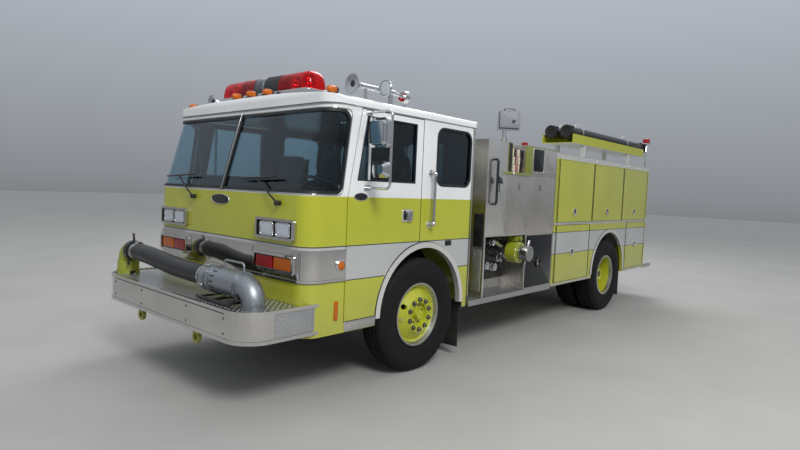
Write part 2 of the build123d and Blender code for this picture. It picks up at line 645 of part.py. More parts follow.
# Roof horns and lamps: flared bells and round lamps standing on short feet
HORN_X = 1105.0
HORN_Z = 2575.0
MOUTH_Y = FRONT_AXLE - 900.0
BELL = 150.0
BELL_R = 84.0
THROAT_R = 23.0
HORN_END = FRONT_AXLE - 380.0
FOOT_LOW = 2440.0
SPOT_X = 1165.0
SPOT_Y = FRONT_AXLE - 560.0
SPOT_Z = 2585.0
SPOT_DEPTH = 90.0
with BuildPart() as roof_horns:
    for side in (-1, 1):
        x = side * HORN_X
        throat = MOUTH_Y + BELL
        with BuildSketch(Plane.YZ.offset(x)) as flare:
            with BuildLine():
                Polyline((throat, HORN_Z), (MOUTH_Y + 14, HORN_Z), (MOUTH_Y, HORN_Z + BELL_R - 8),
                         (MOUTH_Y, HORN_Z + BELL_R))
                ThreePointArc((MOUTH_Y, HORN_Z + BELL_R), (MOUTH_Y + 52, HORN_Z + 40),
                              (throat, HORN_Z + THROAT_R))
                Line((throat, HORN_Z + THROAT_R), (throat, HORN_Z))
            make_face()
        revolve(flare.sketch, axis=Axis((x, MOUTH_Y, HORN_Z), (0, 1, 0)), revolution_arc=360)
        rod((x, throat - 12, HORN_Z), (x, HORN_END, HORN_Z), THROAT_R - 1)
        for y in (throat + 10, HORN_END - 40):
            rod((x, y, FOOT_LOW), (x, y, HORN_Z), 14)
    for y, radius in ((SPOT_Y, 72), (SPOT_Y + SPOT_DEPTH, 40)):
        with BuildSketch(Plane.XZ.offset(-y)):
            with Locations((SPOT_X, SPOT_Z)):
                Circle(radius)
    loft()
    rod((SPOT_X, SPOT_Y + 55, FOOT_LOW), (SPOT_X, SPOT_Y + 55, SPOT_Z), 14)
    add(roof.part, mode=Mode.SUBTRACT)
save(roof_horns, "roof_horns")

# Cab interior that shows through the glass
SEAT_X = 790.0
SEAT_LOW = 1400.0
SEAT_HIGH = 1520.0
SEAT_REAR = FRONT_AXLE - 100.0
HEAD_HIGH = 2060.0
with BuildPart() as seats:
    for side in (-1, 1):
        x = side * SEAT_X
        block((x - 200, x + 200), (SEAT_REAR - 460, SEAT_REAR - 20), (FLOOR_HIGH + FLOOR_T, SEAT_LOW))
        block((x - 240, x + 240), (SEAT_REAR - 520, SEAT_REAR), (SEAT_LOW, SEAT_HIGH))
        block((x - 230, x + 230), (SEAT_REAR, SEAT_REAR + 110), (SEAT_LOW + 20, HEAD_HIGH))
save(seats, "seats")

DASH_HALF = 1060.0
DASH_LOW = 1330.0
WHEEL_RIM_R = 225.0
WHEEL_GRIP = 14.0
with BuildPart() as dashboard:
    with BuildSketch(Plane.YZ.offset(-DASH_HALF)):
        back = CAB_FRONT + WALL + 6
        side_face([(back, DASH_LOW), (CAB_FRONT + 300, DASH_LOW), (CAB_FRONT + 380, DASH_LOW + 120),
                   (CAB_FRONT + 340, DASH_LOW + 270), (back, DASH_LOW + 310)])
    extrude(amount=2 * DASH_HALF)
    hub = Plane(origin=(SEAT_X, FRONT_AXLE - 880, 1700), z_dir=(0, 0.45, 0.9))
    with BuildSketch(Plane(origin=hub.origin + hub.x_dir * WHEEL_RIM_R, x_dir=hub.x_dir, z_dir=hub.y_dir)):
        Circle(WHEEL_GRIP)
    revolve(axis=Axis(hub.origin, hub.z_dir), revolution_arc=360)
    for turn in (90, 210, 330):
        arm = hub.x_dir * math.cos(math.radians(turn)) + hub.y_dir * math.sin(math.radians(turn))
        rod(tuple(hub.origin), tuple(hub.origin + arm * (WHEEL_RIM_R - 3)), 10)
    rod(tuple(hub.origin + hub.z_dir * 20), tuple(hub.origin - hub.z_dir * 260), 34)
save(dashboard, "dashboard")

# Frame: two rails joined by crossmembers, with the bumper's extension in front
TOW_EYE_X = 490.0
TOW_EYE_Y = FRONT_AXLE - 1900.0
TOW_EYE_Z = 505.0
TOW_EYE_T = 28.0
FLANGE = 10.0
# Crossmembers: station from the front axle and lower face
CROSSMEMBERS = ((-1300, 690), (-620, 690), (1180, 690), (2450, 840), (3700, 840), (5700, 840))
with BuildPart() as frame:
    for side in (-1, 1):
        x = sorted((side * RAIL_IN, side * RAIL_OUT))
        web = sorted((side * (RAIL_OUT - FLANGE), side * RAIL_OUT))
        run = (CAB_FRONT + 60, BODY_REAR - 20)
        block(web, run, (RAIL_LOW, RAIL_HIGH))
        block(x, run, (RAIL_LOW, RAIL_LOW + FLANGE))
        block(x, run, (RAIL_HIGH - FLANGE, RAIL_HIGH))
        run = (FRONT + 30, CAB_FRONT + 61)
        block(web, run, (RAIL_LOW - 90, DECK_TOP - 12))
        block(x, run, (RAIL_LOW - 90, RAIL_LOW - 80))
    for station, low in CROSSMEMBERS:
        y = FRONT_AXLE + station
        block((-RAIL_OUT + 9, RAIL_OUT - 9), (y - 45, y + 45), (low, low + 70))
    for side in (-1, 1):
        x = side * TOW_EYE_X
        end = TOW_EYE_Y + TOW_EYE_T
        block((x - 32, x + 32), (TOW_EYE_Y, end), (TOW_EYE_Z, 700))
        rod((x, TOW_EYE_Y, TOW_EYE_Z), (x, end, TOW_EYE_Z), 50)
        rod((x, TOW_EYE_Y - 1, TOW_EYE_Z), (x, end + 1, TOW_EYE_Z), 27, mode=Mode.SUBTRACT)
save(frame, "frame")

# Power train: one block for the engine, then the gearbox, the pump and the shafts
PINION_Y = REAR_AXLE - 300.0
with BuildPart() as power_train:
    block((-370, 370), (FRONT_AXLE - 560, FRONT_AXLE + 560), (RAIL_LOW + 120, FLOOR_HIGH - 5))
    rod((0, FRONT_AXLE + 559, 900), (0, FRONT_AXLE + 985, 900), 190)
    rod((0, FRONT_AXLE + 984, 860), (0, FRONT_AXLE + 1401, 850), 50)
    block((-230, 230), (FRONT_AXLE + 1400, FRONT_AXLE + 1900), (RAIL_LOW + 20, RAIL_HIGH + 60))
    rod((0, FRONT_AXLE + 1899, 770), (0, PINION_Y, AXLE_Z + 40), 50)
    block((-90, 90), (PINION_Y, PINION_Y + 200), (AXLE_Z - 60, AXLE_Z + 140), mode=Mode.SUBTRACT)
save(power_train, "power_train")

# Axles, with leaf springs under the rails
def leaf_spring(axle_y, low):
    """A pack of leaves and its hanger brackets under each rail."""
    for side in (-1, 1):
        x = side * (RAIL_IN + RAIL_OUT) / 2
        with BuildSketch(Plane.YZ.offset(x - 42)) as leaves:
            with BuildLine():
                ThreePointArc((axle_y - 620, low + 68), (axle_y, low), (axle_y + 620, low + 68))
                Line((axle_y + 620, low + 68), (axle_y + 620, low + 84))
                ThreePointArc((axle_y + 620, low + 84), (axle_y, low + 60), (axle_y - 620, low + 84))
                Line((axle_y - 620, low + 84), (axle_y - 620, low + 68))
            make_face()
        extrude(leaves.sketch, amount=84)
        for end in (-610, 610):
            block((x - 34, x + 34), (axle_y + end - 40, axle_y + end + 40), (low + 70, RAIL_LOW))


BEAM_LOW = 500.0
BEAM_HIGH = 586.0
BEAM_DROP = 60.0
BEAM_DEPTH = 96.0
KINGPIN_R = 30.0
with BuildPart() as front_axle:
    with BuildSketch(Plane.XZ.offset(-FRONT_AXLE - 55)) as beam:
        with BuildLine():
            low = BEAM_LOW - BEAM_DROP
            Polyline((0, low), (560, low), (800, BEAM_LOW), (KINGPIN_X, BEAM_LOW), (KINGPIN_X, BEAM_HIGH),
                     (800, BEAM_HIGH), (560, low + BEAM_DEPTH), (0, low + BEAM_DEPTH), close=True)
        make_face()
        mirror(about=Plane.YZ)
    extrude(amount=110)
    for side in (-1, 1):
        x = side * KINGPIN_X
        rod((x, FRONT_AXLE, BEAM_LOW), (x, FRONT_AXLE, BEAM_HIGH), 58)
        rod((x, FRONT_AXLE, BEAM_LOW - 10), (x, FRONT_AXLE, BEAM_HIGH + 14), KINGPIN_R + 0.3,
            mode=Mode.SUBTRACT)
    leaf_spring(FRONT_AXLE, 530)
save(front_axle, "front_axle")

with BuildPart() as rear_axle:
    with BuildSketch(Plane.XZ.offset(-REAR_AXLE)):
        with BuildLine():
            tube = AXLE_Z + 80
            spindle = AXLE_Z + 50
            Polyline((-210, tube), (-570, tube), (-570, spindle), (-1090, spindle), (-1090, AXLE_Z),
                     (1090, AXLE_Z), (1090, spindle), (570, spindle), (570, tube), (210, tube))
            ThreePointArc((210, tube), (0, AXLE_Z + 214), (-210, tube))
        make_face()
    revolve(axis=Axis((0, REAR_AXLE, AXLE_Z), (1, 0, 0)), revolution_arc=360)
    rod((0, PINION_Y, AXLE_Z + 30), (0, REAR_AXLE - 100, AXLE_Z + 20), 76)
    for side in (-1, 1):
        x = side * (RAIL_IN + RAIL_OUT) / 2
        block((x - 50, x + 50), (REAR_AXLE - 70, REAR_AXLE + 70), (AXLE_Z, 602))
    leaf_spring(REAR_AXLE, 590)
save(rear_axle, "rear_axle")

# Steering knuckles: a yoke round the kingpin eye, with the wheel's spindle
YOKE_T = 48.0
with BuildPart() as knuckle:
    low = BEAM_LOW - YOKE_T - 2
    high = BEAM_HIGH + YOKE_T + 2
    rod((KINGPIN_X, FRONT_AXLE, low), (KINGPIN_X, FRONT_AXLE, high), KINGPIN_R)
    for z in (low, high - YOKE_T):
        rod((KINGPIN_X, FRONT_AXLE, z), (KINGPIN_X, FRONT_AXLE, z + YOKE_T), 56)
        block((KINGPIN_X, KINGPIN_X + 120), (FRONT_AXLE - 45, FRONT_AXLE + 45), (z, z + YOKE_T))
    block((KINGPIN_X + 72, KINGPIN_X + 120), (FRONT_AXLE - 50, FRONT_AXLE + 50), (low, high))
    rod((KINGPIN_X + 119, FRONT_AXLE, AXLE_Z), (1150, FRONT_AXLE, AXLE_Z), 40)
    block((KINGPIN_X - 24, KINGPIN_X + 24), (FRONT_AXLE + 40, FRONT_AXLE + 190), (452, 484))
save_pair(knuckle, "knuckle")


# Wheels: tyre sections revolved about the axle line, rims with dished discs
BEAD_HALF = 112.0
SHOULDER = (128.0, 505.0)
TREAD_EDGE = (104.0, 534.0)
WIDEST_R = 420.0


def tyre_section(centre):
    """The tyre's section above the axle line, on the current sketch of (x, z)."""
    with BuildLine() as outline:
        bead = AXLE_Z + FLANGE_R + 1
        shoulder = AXLE_Z + SHOULDER[1]
        tread = AXLE_Z + TREAD_EDGE[1]
        for side in (-1, 1):
            wide = centre + side * SHOULDER[0]
            edge = centre + side * TREAD_EDGE[0]
            ThreePointArc((centre + side * BEAD_HALF, bead), (centre + side * TYRE_HALF, AXLE_Z + WIDEST_R),
                          (wide, shoulder))
            Line((wide, shoulder), (edge, tread))
        Line((centre - BEAD_HALF, bead), (centre + BEAD_HALF, bead))
        ThreePointArc((centre - TREAD_EDGE[0], tread), (centre, AXLE_Z + TYRE_R),
                      (centre + TREAD_EDGE[0], tread))
    make_face(outline.edges())


def spin(axle_y):
    """Turns the current sketch once round an axle line along X."""
    revolve(axis=Axis((0, axle_y, AXLE_Z), (1, 0, 0)), revolution_arc=360)


def convex_disc_section():
    """Front rim, the disc standing out to its nut ring, the hub and its cap, as (x, height)."""
    lip = FRONT_WHEEL_X + RIM_HALF
    inner = FRONT_WHEEL_X - RIM_HALF
    outline = [(inner, FLANGE_R), (lip, FLANGE_R), (lip, 287), (lip - 34, 272), (lip - 53, 250),
               (lip - 24, 212), (NUT_FACE, 168), (NUT_FACE, 114), (NUT_FACE - 36, 106), (NUT_FACE - 36, 50),
               (HUB_END, 44), (HUB_END, 0), (HUB_BACK, 0), (HUB_BACK, 42), (FRONT_WHEEL_X - 14, 42),
               (FRONT_WHEEL_X - 14, 88), (NUT_FACE - 48, 88), (NUT_FACE - 48, 100), (NUT_FACE - 14, 120),
               (NUT_FACE - 14, 162), (lip - 40, 200), (lip - 73, 240), (FRONT_WHEEL_X - 40, 236),
               (inner, 270)]
    side_face([(x, AXLE_Z + height) for x, height in outline])


def holes(axle_y, x, circle, count, radius, depth, mode=Mode.SUBTRACT):
    """A ring of holes or studs through the disc."""
    for i in range(count):
        turn = 2 * math.pi * (i + 0.5) / count
        y = axle_y + circle * math.cos(turn)
        z = AXLE_Z + circle * math.sin(turn)
        rod((x, y, z), (x + depth, y, z), radius, mode=mode)


NUT_FACE = 1186.0
HUB_END = 1196.0
HUB_BACK = 1160.0
HAND_HOLE = 206.0
HAND_TURN = math.radians(25.6)
NUT_CIRCLE = 143.0
NUT_COUNT = 10
NUT_R = 14.0
REAR_DISC = 920.0
with BuildPart() as tyre_front:
    with BuildSketch(Plane.XZ.offset(-FRONT_AXLE)):
        tyre_section(FRONT_WHEEL_X)
    spin(FRONT_AXLE)
save_pair(tyre_front, "tyre_front")

with BuildPart() as wheel_front:
    with BuildSketch(Plane.XZ.offset(-FRONT_AXLE)):
        convex_disc_section()
    spin(FRONT_AXLE)
    holes(FRONT_AXLE, NUT_FACE - 1, NUT_CIRCLE, NUT_COUNT, NUT_R, 23, mode=Mode.ADD)
    for side in (-1, 1):
        y = FRONT_AXLE - side * HAND_HOLE * math.cos(HAND_TURN)
        z = AXLE_Z + side * HAND_HOLE * math.sin(HAND_TURN)
        rod((NUT_FACE - 96, y, z), (NUT_FACE + 20, y, z), 26, mode=Mode.SUBTRACT)
save_pair(wheel_front, "wheel_front")

INNER_X = REAR_WHEEL_X - TWIN_SPACING
with BuildPart() as tyres_rear:
    for x in (REAR_WHEEL_X, INNER_X):
        with BuildSketch(Plane.XZ.offset(-REAR_AXLE)):
            tyre_section(x)
        spin(REAR_AXLE)
save_pair(tyres_rear, "tyres_rear")

with BuildPart() as wheels_rear:
    with BuildSketch(Plane.XZ.offset(-REAR_AXLE)):
        with BuildLine():
            outer = REAR_WHEEL_X + RIM_HALF
            low = AXLE_Z
            Polyline((outer, low + FLANGE_R), (outer, low + 276), (REAR_DISC, low + 240),
                     (REAR_DISC, low + 110), (1100, low + 84), (1100, low + 52), (REAR_DISC - 70, low + 52),
                     (REAR_DISC - 70, low + 110), (REAR_DISC - 25, low + 110), (REAR_DISC - 25, low + 240),
                     (INNER_X - RIM_HALF, low + 270), (INNER_X - RIM_HALF, low + FLANGE_R),
                     (INNER_X + RIM_HALF, low + FLANGE_R), (INNER_X + RIM_HALF, low + 272),
                     (outer - 2 * RIM_HALF, low + 272), (outer - 2 * RIM_HALF, low + FLANGE_R), close=True)
        make_face()
    spin(REAR_AXLE)
    holes(REAR_AXLE, REAR_DISC - 1, NUT_CIRCLE, NUT_COUNT, NUT_R, 30, mode=Mode.ADD)
save_pair(wheels_rear, "wheels_rear")

# Pump module: a stainless box between the cab and the body, open where it is used
CROSSLAY = (FRONT_AXLE + 1495, FRONT_AXLE + 1790)
CROSSLAY_FLOOR = 1972.0
RECESS = (FRONT_AXLE + 1024, FRONT_AXLE + 1884)
RECESS_Z = (STEP_TOP + 1.0, 1246.0)
RECESS_BACK = 900.0
MODULE_REAR = BODY_FRONT - 4.0
UPPER_BOX = 1270.0
POLE_X = 1130.0
POLE_Y = FRONT_AXLE + 1436.0
POLE_R = 22.0
with BuildPart() as pump_module:
    block((-HALF, HALF), (MODULE_FRONT, MODULE_REAR), (UPPER_BOX, MODULE_TOP))
    block((-HALF + SKIN, HALF - SKIN), (MODULE_FRONT + SKIN, MODULE_REAR - SKIN),
          (UPPER_BOX - 10, CROSSLAY_FLOOR - 30), mode=Mode.SUBTRACT)
    block((-HALF - 1, HALF + 1), CROSSLAY, (CROSSLAY_FLOOR, MODULE_TOP + 1), mode=Mode.SUBTRACT)
    for side in (-1, 1):
        x = sorted((side * (RECESS_BACK - SKIN), side * HALF))
        block(x, (MODULE_FRONT, MODULE_REAR), (STEP_TOP + 2, UPPER_BOX + 1))
        block(sorted((side * RECESS_BACK, side * (HALF + 1))), RECESS, RECESS_Z, mode=Mode.SUBTRACT)
    rod((POLE_X, POLE_Y, 1400), (POLE_X, POLE_Y, MODULE_TOP + 60), 34)
    rod((POLE_X, POLE_Y, 1410), (POLE_X, POLE_Y, MODULE_TOP + 61), POLE_R + 0.5, mode=Mode.SUBTRACT)
save(pump_module, "pump_module")

with BuildPart() as crosslay_hose:
    block((-HALF + 30, HALF - 30), (CROSSLAY[0] + 15, CROSSLAY[1] - 15), (CROSSLAY_FLOOR, MODULE_TOP - 40))
save(crosslay_hose, "crosslay_hose")

# Pump fittings in the recess, alike on both sides but for the cap on the driver's intake.
# Caps: station, height, reach from the back panel, stem radius and head radius.
CAPS = ((1386, 1160, 200, 20, 34), (1277, 905, 200, 30, 44), (1440, 878, 200, 30, 44),
        (1640, 958, 150, 30, 42))
INTAKE_Y = FRONT_AXLE + 1745.0
INTAKE_Z = 1044.0
INTAKE = ((RECESS_BACK, 1101.0, 88.0), (1100.0, 1236.0, 125.0), (1235.0, 1345.0, 76.0))
VALVE_Y = FRONT_AXLE + 1500.0
VALVE_Z = 1150.0
with BuildPart() as pump_fittings:
    for side in (-1, 1):
        for station, z, reach, stem, head in CAPS:
            y = FRONT_AXLE + station
            rod((side * RECESS_BACK, y, z), (side * (RECESS_BACK + reach - 40), y, z), stem)
            rod((side * (RECESS_BACK + reach - 70), y, z), (side * (RECESS_BACK + reach), y, z), head)
        rod((side * RECESS_BACK, VALVE_Y, VALVE_Z), (side * 1080, VALVE_Y, VALVE_Z), 24)
        rod((side * 1060, VALVE_Y - 60, VALVE_Z + 26), (side * 1060, VALVE_Y + 100, VALVE_Z - 38), 24)
        for x0, x1, radius in INTAKE:
            rod((side * x0, INTAKE_Y, INTAKE_Z), (side * x1, INTAKE_Y, INTAKE_Z), radius)
    rod((1290, INTAKE_Y, INTAKE_Z), (1366, INTAKE_Y, INTAKE_Z), 90)
save(pump_fittings, "pump_fittings")

# Running boards beside the pump, and the rear tail board
BOARD_H = 60.0
with BuildPart() as running_board:
    block((RECESS_BACK - 40, HALF), (CAB_REAR + 16, MODULE_REAR), (STEP_TOP - BOARD_H, STEP_TOP))
    block((RECESS_BACK - 60, HALF - 10), (CAB_REAR + 26, MODULE_REAR - 10),
          (STEP_TOP - BOARD_H - 1, STEP_TOP - SHEET), mode=Mode.SUBTRACT)
    mirror(running_board.part, about=Plane.YZ)
    block((-HALF, HALF), (BODY_REAR, LENGTH / 2), (BODY_LOW - 10, BODY_LOW - 10 + BOARD_H))
save(running_board, "step_boards")

# Body: side frames round the lockers, the lockers' walls, the hose bed between
LOW_DOORS = ((UPPER_SPLITS[0], FRONT_AXLE + 3715), (FRONT_AXLE + 5112, UPPER_SPLITS[3]))
LOW_DOOR_Z = (592.0, 1343.0)


def locker_doors():
    """Each locker door's station range, height range and name, driver's side."""
    doors = []
    for i in range(3):
        doors.append(((UPPER_SPLITS[i], UPPER_SPLITS[i + 1]), (DOOR_LINE + 14, UPPER_TOP), f"upper_{i + 1}"))
    doors.append((LOW_DOORS[0], LOW_DOOR_Z, "lower_front"))
    doors.append((LOW_DOORS[1], LOW_DOOR_Z, "lower_rear"))
    return doors


with BuildPart() as lockers:
    block((HALF - SKIN, HALF), (BODY_FRONT, BODY_REAR), (BODY_LOW, UPPER_TOP + 10))
    for y, z, name in locker_doors():
        block((HALF - SKIN - 1, HALF + 1), (y[0] + 36, y[1] - 36), (z[0] + 36, z[1] - 36), mode=Mode.SUBTRACT)
        block((HALF - SKIN / 2, HALF + 1), (y[0] - GAP / 2, y[1] + GAP / 2), (z[0] - GAP / 2, z[1] + GAP / 2),
              mode=Mode.SUBTRACT)
    with BuildSketch(Plane.YZ.offset(HALF - SKIN - 1)):
        with Locations((REAR_AXLE, ARCH_Z)):
            Circle(REAR_ARCH_R)
        with Locations((REAR_AXLE, ARCH_Z - 100)):
            Rectangle(2 * REAR_ARCH_R, 200)
    extrude(amount=SKIN + 2, mode=Mode.SUBTRACT)
    with BuildSketch(Plane.YZ.offset(HALF)):
        with Locations((REAR_AXLE, ARCH_Z)):
            Circle(REAR_ARCH_R + REAR_TRIM)
            Circle(REAR_ARCH_R, mode=Mode.SUBTRACT)
        with Locations((REAR_AXLE, ARCH_Z - 700)):
            Rectangle(1400, 1400, mode=Mode.SUBTRACT)
    extrude(amount=8)
    x = (LOCKER_BACK, HALF - SKIN)
    block((LOCKER_BACK - PLATE, LOCKER_BACK), (BODY_FRONT, BODY_REAR), (BODY_LOW, BODY_TOP))
    block((LOCKER_BACK - PLATE - 1, LOCKER_BACK + 1),
          (REAR_AXLE - REAR_ARCH_R - 40, REAR_AXLE + REAR_ARCH_R + 40), (BODY_LOW - 1, RAIL_HIGH),
          mode=Mode.SUBTRACT)
    for y in (BODY_FRONT, BODY_REAR - PLATE):
        block(x, (y, y + PLATE), (BODY_LOW, UPPER_TOP))
    for y in UPPER_SPLITS[1:3]:
        block(x, (y - PLATE / 2, y + PLATE / 2), (DOOR_LINE, UPPER_TOP))
    block(x, (BODY_FRONT, BODY_REAR), (DOOR_LINE - 12, DOOR_LINE + 8))
    block(x, (BODY_FRONT, BODY_REAR), (UPPER_TOP - 10, UPPER_TOP + 10))
    block((LOCKER_BACK - PLATE, HALF), (BODY_FRONT, BODY_REAR), (UPPER_TOP + 10, BODY_TOP))
    for y in (REAR_AXLE - REAR_ARCH_R - 60, REAR_AXLE + REAR_ARCH_R + 40):
        block(x, (y, y + PLATE), (BODY_LOW, DOOR_LINE))
    block(x, (BODY_FRONT, REAR_AXLE - REAR_ARCH_R - 60), (BODY_LOW, BODY_LOW + PLATE))
    block(x, (REAR_AXLE + REAR_ARCH_R + 60, BODY_REAR), (BODY_LOW, BODY_LOW + PLATE))
    block(x, (REAR_AXLE - REAR_ARCH_R - 60, REAR_AXLE + REAR_ARCH_R + 60), (1225, 1245))
save_pair(lockers, "lockers")

BED_FLOOR = 1700.0
with BuildPart() as hose_bed:
    inner = LOCKER_BACK - PLATE
    block((-inner, inner), (BODY_FRONT, BODY_REAR), (BED_FLOOR - PLATE, BED_FLOOR))
    block((-inner, inner), (BODY_FRONT, BODY_FRONT + PLATE), (BED_FLOOR, BODY_TOP))
    block((-inner, inner), (BODY_REAR - PLATE, BODY_REAR), (BODY_LOW + 40, BED_FLOOR))
    block((-inner + 10, inner - 10), (BODY_FRONT + 60, BODY_REAR - 500), (RAIL_HIGH + 20, BED_FLOOR - PLATE))
save(hose_bed, "hose_bed")

# Locker doors: the upper ones lift on their top edges, the lower ones swing on their rear edges
LATCH_SHARE = 0.46
LATCH_UPPER = 140.0
LATCH_LOWER = 385.0
LATCH_R = 52.0
for y, z, name in locker_doors():
    with BuildPart() as locker_door:
        block((HALF - SKIN / 2 + 6, HALF + 4), (y[0] + GAP / 2, y[1] - GAP / 2),
              (z[0] + GAP / 2, z[1] - GAP / 2))
        latch_y = y[0] + LATCH_SHARE * (y[1] - y[0])
        latch_z = z[0] + (LATCH_UPPER if name.startswith("upper") else LATCH_LOWER)
        rod((HALF + 4, latch_y, latch_z), (HALF + 14, latch_y, latch_z), LATCH_R)
        if name.startswith("upper"):
            barrel((HINGE_X, y[0] + 30, z[1]), (HINGE_X, y[1] - 30, z[1]))
        else:
            barrel((HINGE_X, y[1], z[0] + 30), (HINGE_X, y[1], z[1] - 30))
    save_pair(locker_door, f"locker_door_{name}")

# Rack above the driver's side lockers: posts, a tray with two side plates, and the hoses' saddles
POST_Y = (FRONT_AXLE + 3570, FRONT_AXLE + 5270)
TRAY = (690.0, 1146.0)
TRAY_Y = (FRONT_AXLE + 3160, FRONT_AXLE + 5900)
TRAY_Z = 2452.0
TRAY_SIDE = 123.0
with BuildPart() as suction_rack:
    for y in POST_Y:
        for x in (TRAY[0] + 30, TRAY[1] - 36):
            block((x - 25, x + 25), (y - 25, y + 25), (BODY_TOP, TRAY_Z + 8))
        for x in RACK_X:
            block((x - 50, x + 50), (y - 30, y + 30), (TRAY_Z + 3, SUCTION_Z - SUCTION_R))
    block(TRAY, TRAY_Y, (TRAY_Z, TRAY_Z + 8))
    for x in (TRAY[0], TRAY[1] - 8):
        block((x, x + 8), TRAY_Y, (TRAY_Z, TRAY_Z + TRAY_SIDE))
save(suction_rack, "suction_rack")

# Floodlight on its sliding pole, with the fixed tube that guides it
FLOOD_TURN = 42.0
FLOOD_SHIFT = 48.0
FLOOD_W = 218.0
FLOOD_H = 186.0
FLOOD_Z = 2558.0
FORK_LOW = 2440.0
with BuildPart() as floodlight:
    rod((POLE_X, POLE_Y, 1420), (POLE_X, POLE_Y, FORK_LOW), POLE_R)
    with Locations(Location((POLE_X, POLE_Y, FLOOD_Z), (0, 0, FLOOD_TURN)) * Location((FLOOD_SHIFT, 0, 0))):
        with Locations((0, 0, FORK_LOW + 10 - FLOOD_Z)):
            Box(FLOOD_W + 30, 44, 22)
        for side in (-1, 1):
            with Locations((side * (FLOOD_W / 2 + 11), 0, -43)):
                Box(8, 36, 150)
            with Locations((side * (FLOOD_W / 2 + 5), 0, 0)):
                Cylinder(18, 14, rotation=(0, 90, 0))
        Box(FLOOD_W, 96, FLOOD_H)
        with Locations((0, 52, 0)):
            Box(FLOOD_W - 30, 12, FLOOD_H - 30)
        for x in (-45, 45):
            with Locations((x, 0, FLOOD_H / 2 + 11)):
                Box(12, 16, 30)
        with Locations((0, 0, FLOOD_H / 2 + 26)):
            Box(102, 18, 12)
save(floodlight, "floodlight")

# Handrails beside the cab door and on the pump module, two at the back, then the mud flaps
RAIL_STAND = 60.0
SIDE_RAILS = ((FRONT_AXLE + 38, 1405, 1890), (FRONT_AXLE + 1110, 1610, 2090))
BACK_RAIL_X = 1120.0
BACK_RAIL_Z = (1420.0, 2080.0)
with BuildPart() as handrails:
    for side in (-1, 1):
        wall = side * HALF
        x = side * (HALF + RAIL_STAND)
        for y, low, high in SIDE_RAILS:
            tube_path([(wall, y, low), (x, y, low), (x, y, high), (wall, y, high)], 24, 14)
        x = side * BACK_RAIL_X
        y = BODY_REAR + RAIL_STAND
        low, high = BACK_RAIL_Z
        tube_path([(x, BODY_REAR, low), (x, y, low), (x, y, high), (x, BODY_REAR, high)], 24, 14)
save(handrails, "handrails")

with BuildPart() as mud_flaps:
    for side in (-1, 1):
        x = sorted((side * 840, side * 1160))
        block(x, (WELL_REAR, WELL_REAR + LINER), (100, ARCH_Z))
        x = sorted((side * 580, side * 1160))
        block(x, (REAR_AXLE + 630, REAR_AXLE + 640), (160, BODY_LOW + 30))
save(mud_flaps, "mud_flaps")
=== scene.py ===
"""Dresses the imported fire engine: finishes for the CAD nodes and the fine pieces they carry."""
import math

import bmesh
import bpy
import numpy as np
from mathutils import Matrix


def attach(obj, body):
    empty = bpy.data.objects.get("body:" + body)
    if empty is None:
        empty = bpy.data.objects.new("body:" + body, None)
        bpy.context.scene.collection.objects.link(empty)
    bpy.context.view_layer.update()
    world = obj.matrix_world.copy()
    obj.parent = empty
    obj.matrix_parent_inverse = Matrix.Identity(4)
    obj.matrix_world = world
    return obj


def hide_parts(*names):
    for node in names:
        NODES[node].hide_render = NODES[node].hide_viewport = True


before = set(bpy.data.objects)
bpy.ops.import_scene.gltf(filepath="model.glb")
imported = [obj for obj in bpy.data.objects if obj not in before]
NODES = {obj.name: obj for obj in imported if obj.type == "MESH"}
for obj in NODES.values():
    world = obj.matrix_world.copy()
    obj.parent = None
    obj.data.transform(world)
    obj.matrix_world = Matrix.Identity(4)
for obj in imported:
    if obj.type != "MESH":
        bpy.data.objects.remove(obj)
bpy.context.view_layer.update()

# Stations and heights of the vehicle, in metres, as the CAD source gives them
FRONT_AXLE, REAR_AXLE, AXLE_Z = -2.235, 2.215, 0.543
FRONT = -4.180                          # the bumper's face
CAB_FRONT = FRONT_AXLE - 1.410
BODY_REAR = FRONT_AXLE + 6.028
HALF = 1.220                            # the cab's and the body's side skins
BELT, DECK, ARCH_Z = 1.650, 0.796, 0.600
STRIPE = (0.970, 1.236)

# Directions, and the two flat directions and the outward one of a surface that faces each way
ACROSS, AHEAD, BEHIND, UP = (1, 0, 0), (0, -1, 0), (0, 1, 0), (0, 0, 1)
SIDE = np.array([BEHIND, UP, ACROSS], float)
FACE = np.array([ACROSS, UP, AHEAD], float)
REAR = np.array([(-1, 0, 0), UP, BEHIND], float)
TOP = np.eye(3)


def at(station):
    """A station measured from the front axle, as a Y coordinate."""
    return FRONT_AXLE + station


def placed(name, data, place=None, axes=None):
    """A new object with that data, at the origin, or at a place with its X, Y and Z along three axes."""
    made = bpy.data.objects.new(name, data)
    bpy.context.scene.collection.objects.link(made)
    if place:
        turn = Matrix(np.stack(axes, -1).tolist())
        made.matrix_world = Matrix.Translation(place) @ turn.to_4x4()
    return made


# Camera, at the photograph's place and angle
CAMERA_PLACE = (4.5586, -6.3351, 1.7272)
CAMERA_TURN = 0.729138, -0.063700, 0.041950     # yaw, pitch and roll, in radians
FOCAL_PIXELS, PHOTO_WIDTH, SENSOR_WIDTH = 563.18, 800, 36.0


def photo_camera():
    """The camera's right, up and view directions: yaw turns them about the upright, pitch lifts the
    view, and roll turns right and up about it."""
    yaw, pitch, roll = CAMERA_TURN
    ahead = np.array([-math.sin(yaw) * math.cos(pitch), math.cos(yaw) * math.cos(pitch), math.sin(pitch)])
    level = np.array([math.cos(yaw), math.sin(yaw), 0.0])
    raised = np.cross(level, ahead)
    right = math.cos(roll) * level + math.sin(roll) * raised
    up = -math.sin(roll) * level + math.cos(roll) * raised
    camera = placed("camera", bpy.data.cameras.new("camera"), CAMERA_PLACE, (right, up, -ahead))
    camera.data.sensor_width = SENSOR_WIDTH
    camera.data.lens = FOCAL_PIXELS / PHOTO_WIDTH * SENSOR_WIDTH
    camera.data.clip_end = 200.0
    bpy.context.scene.camera = camera


photo_camera()

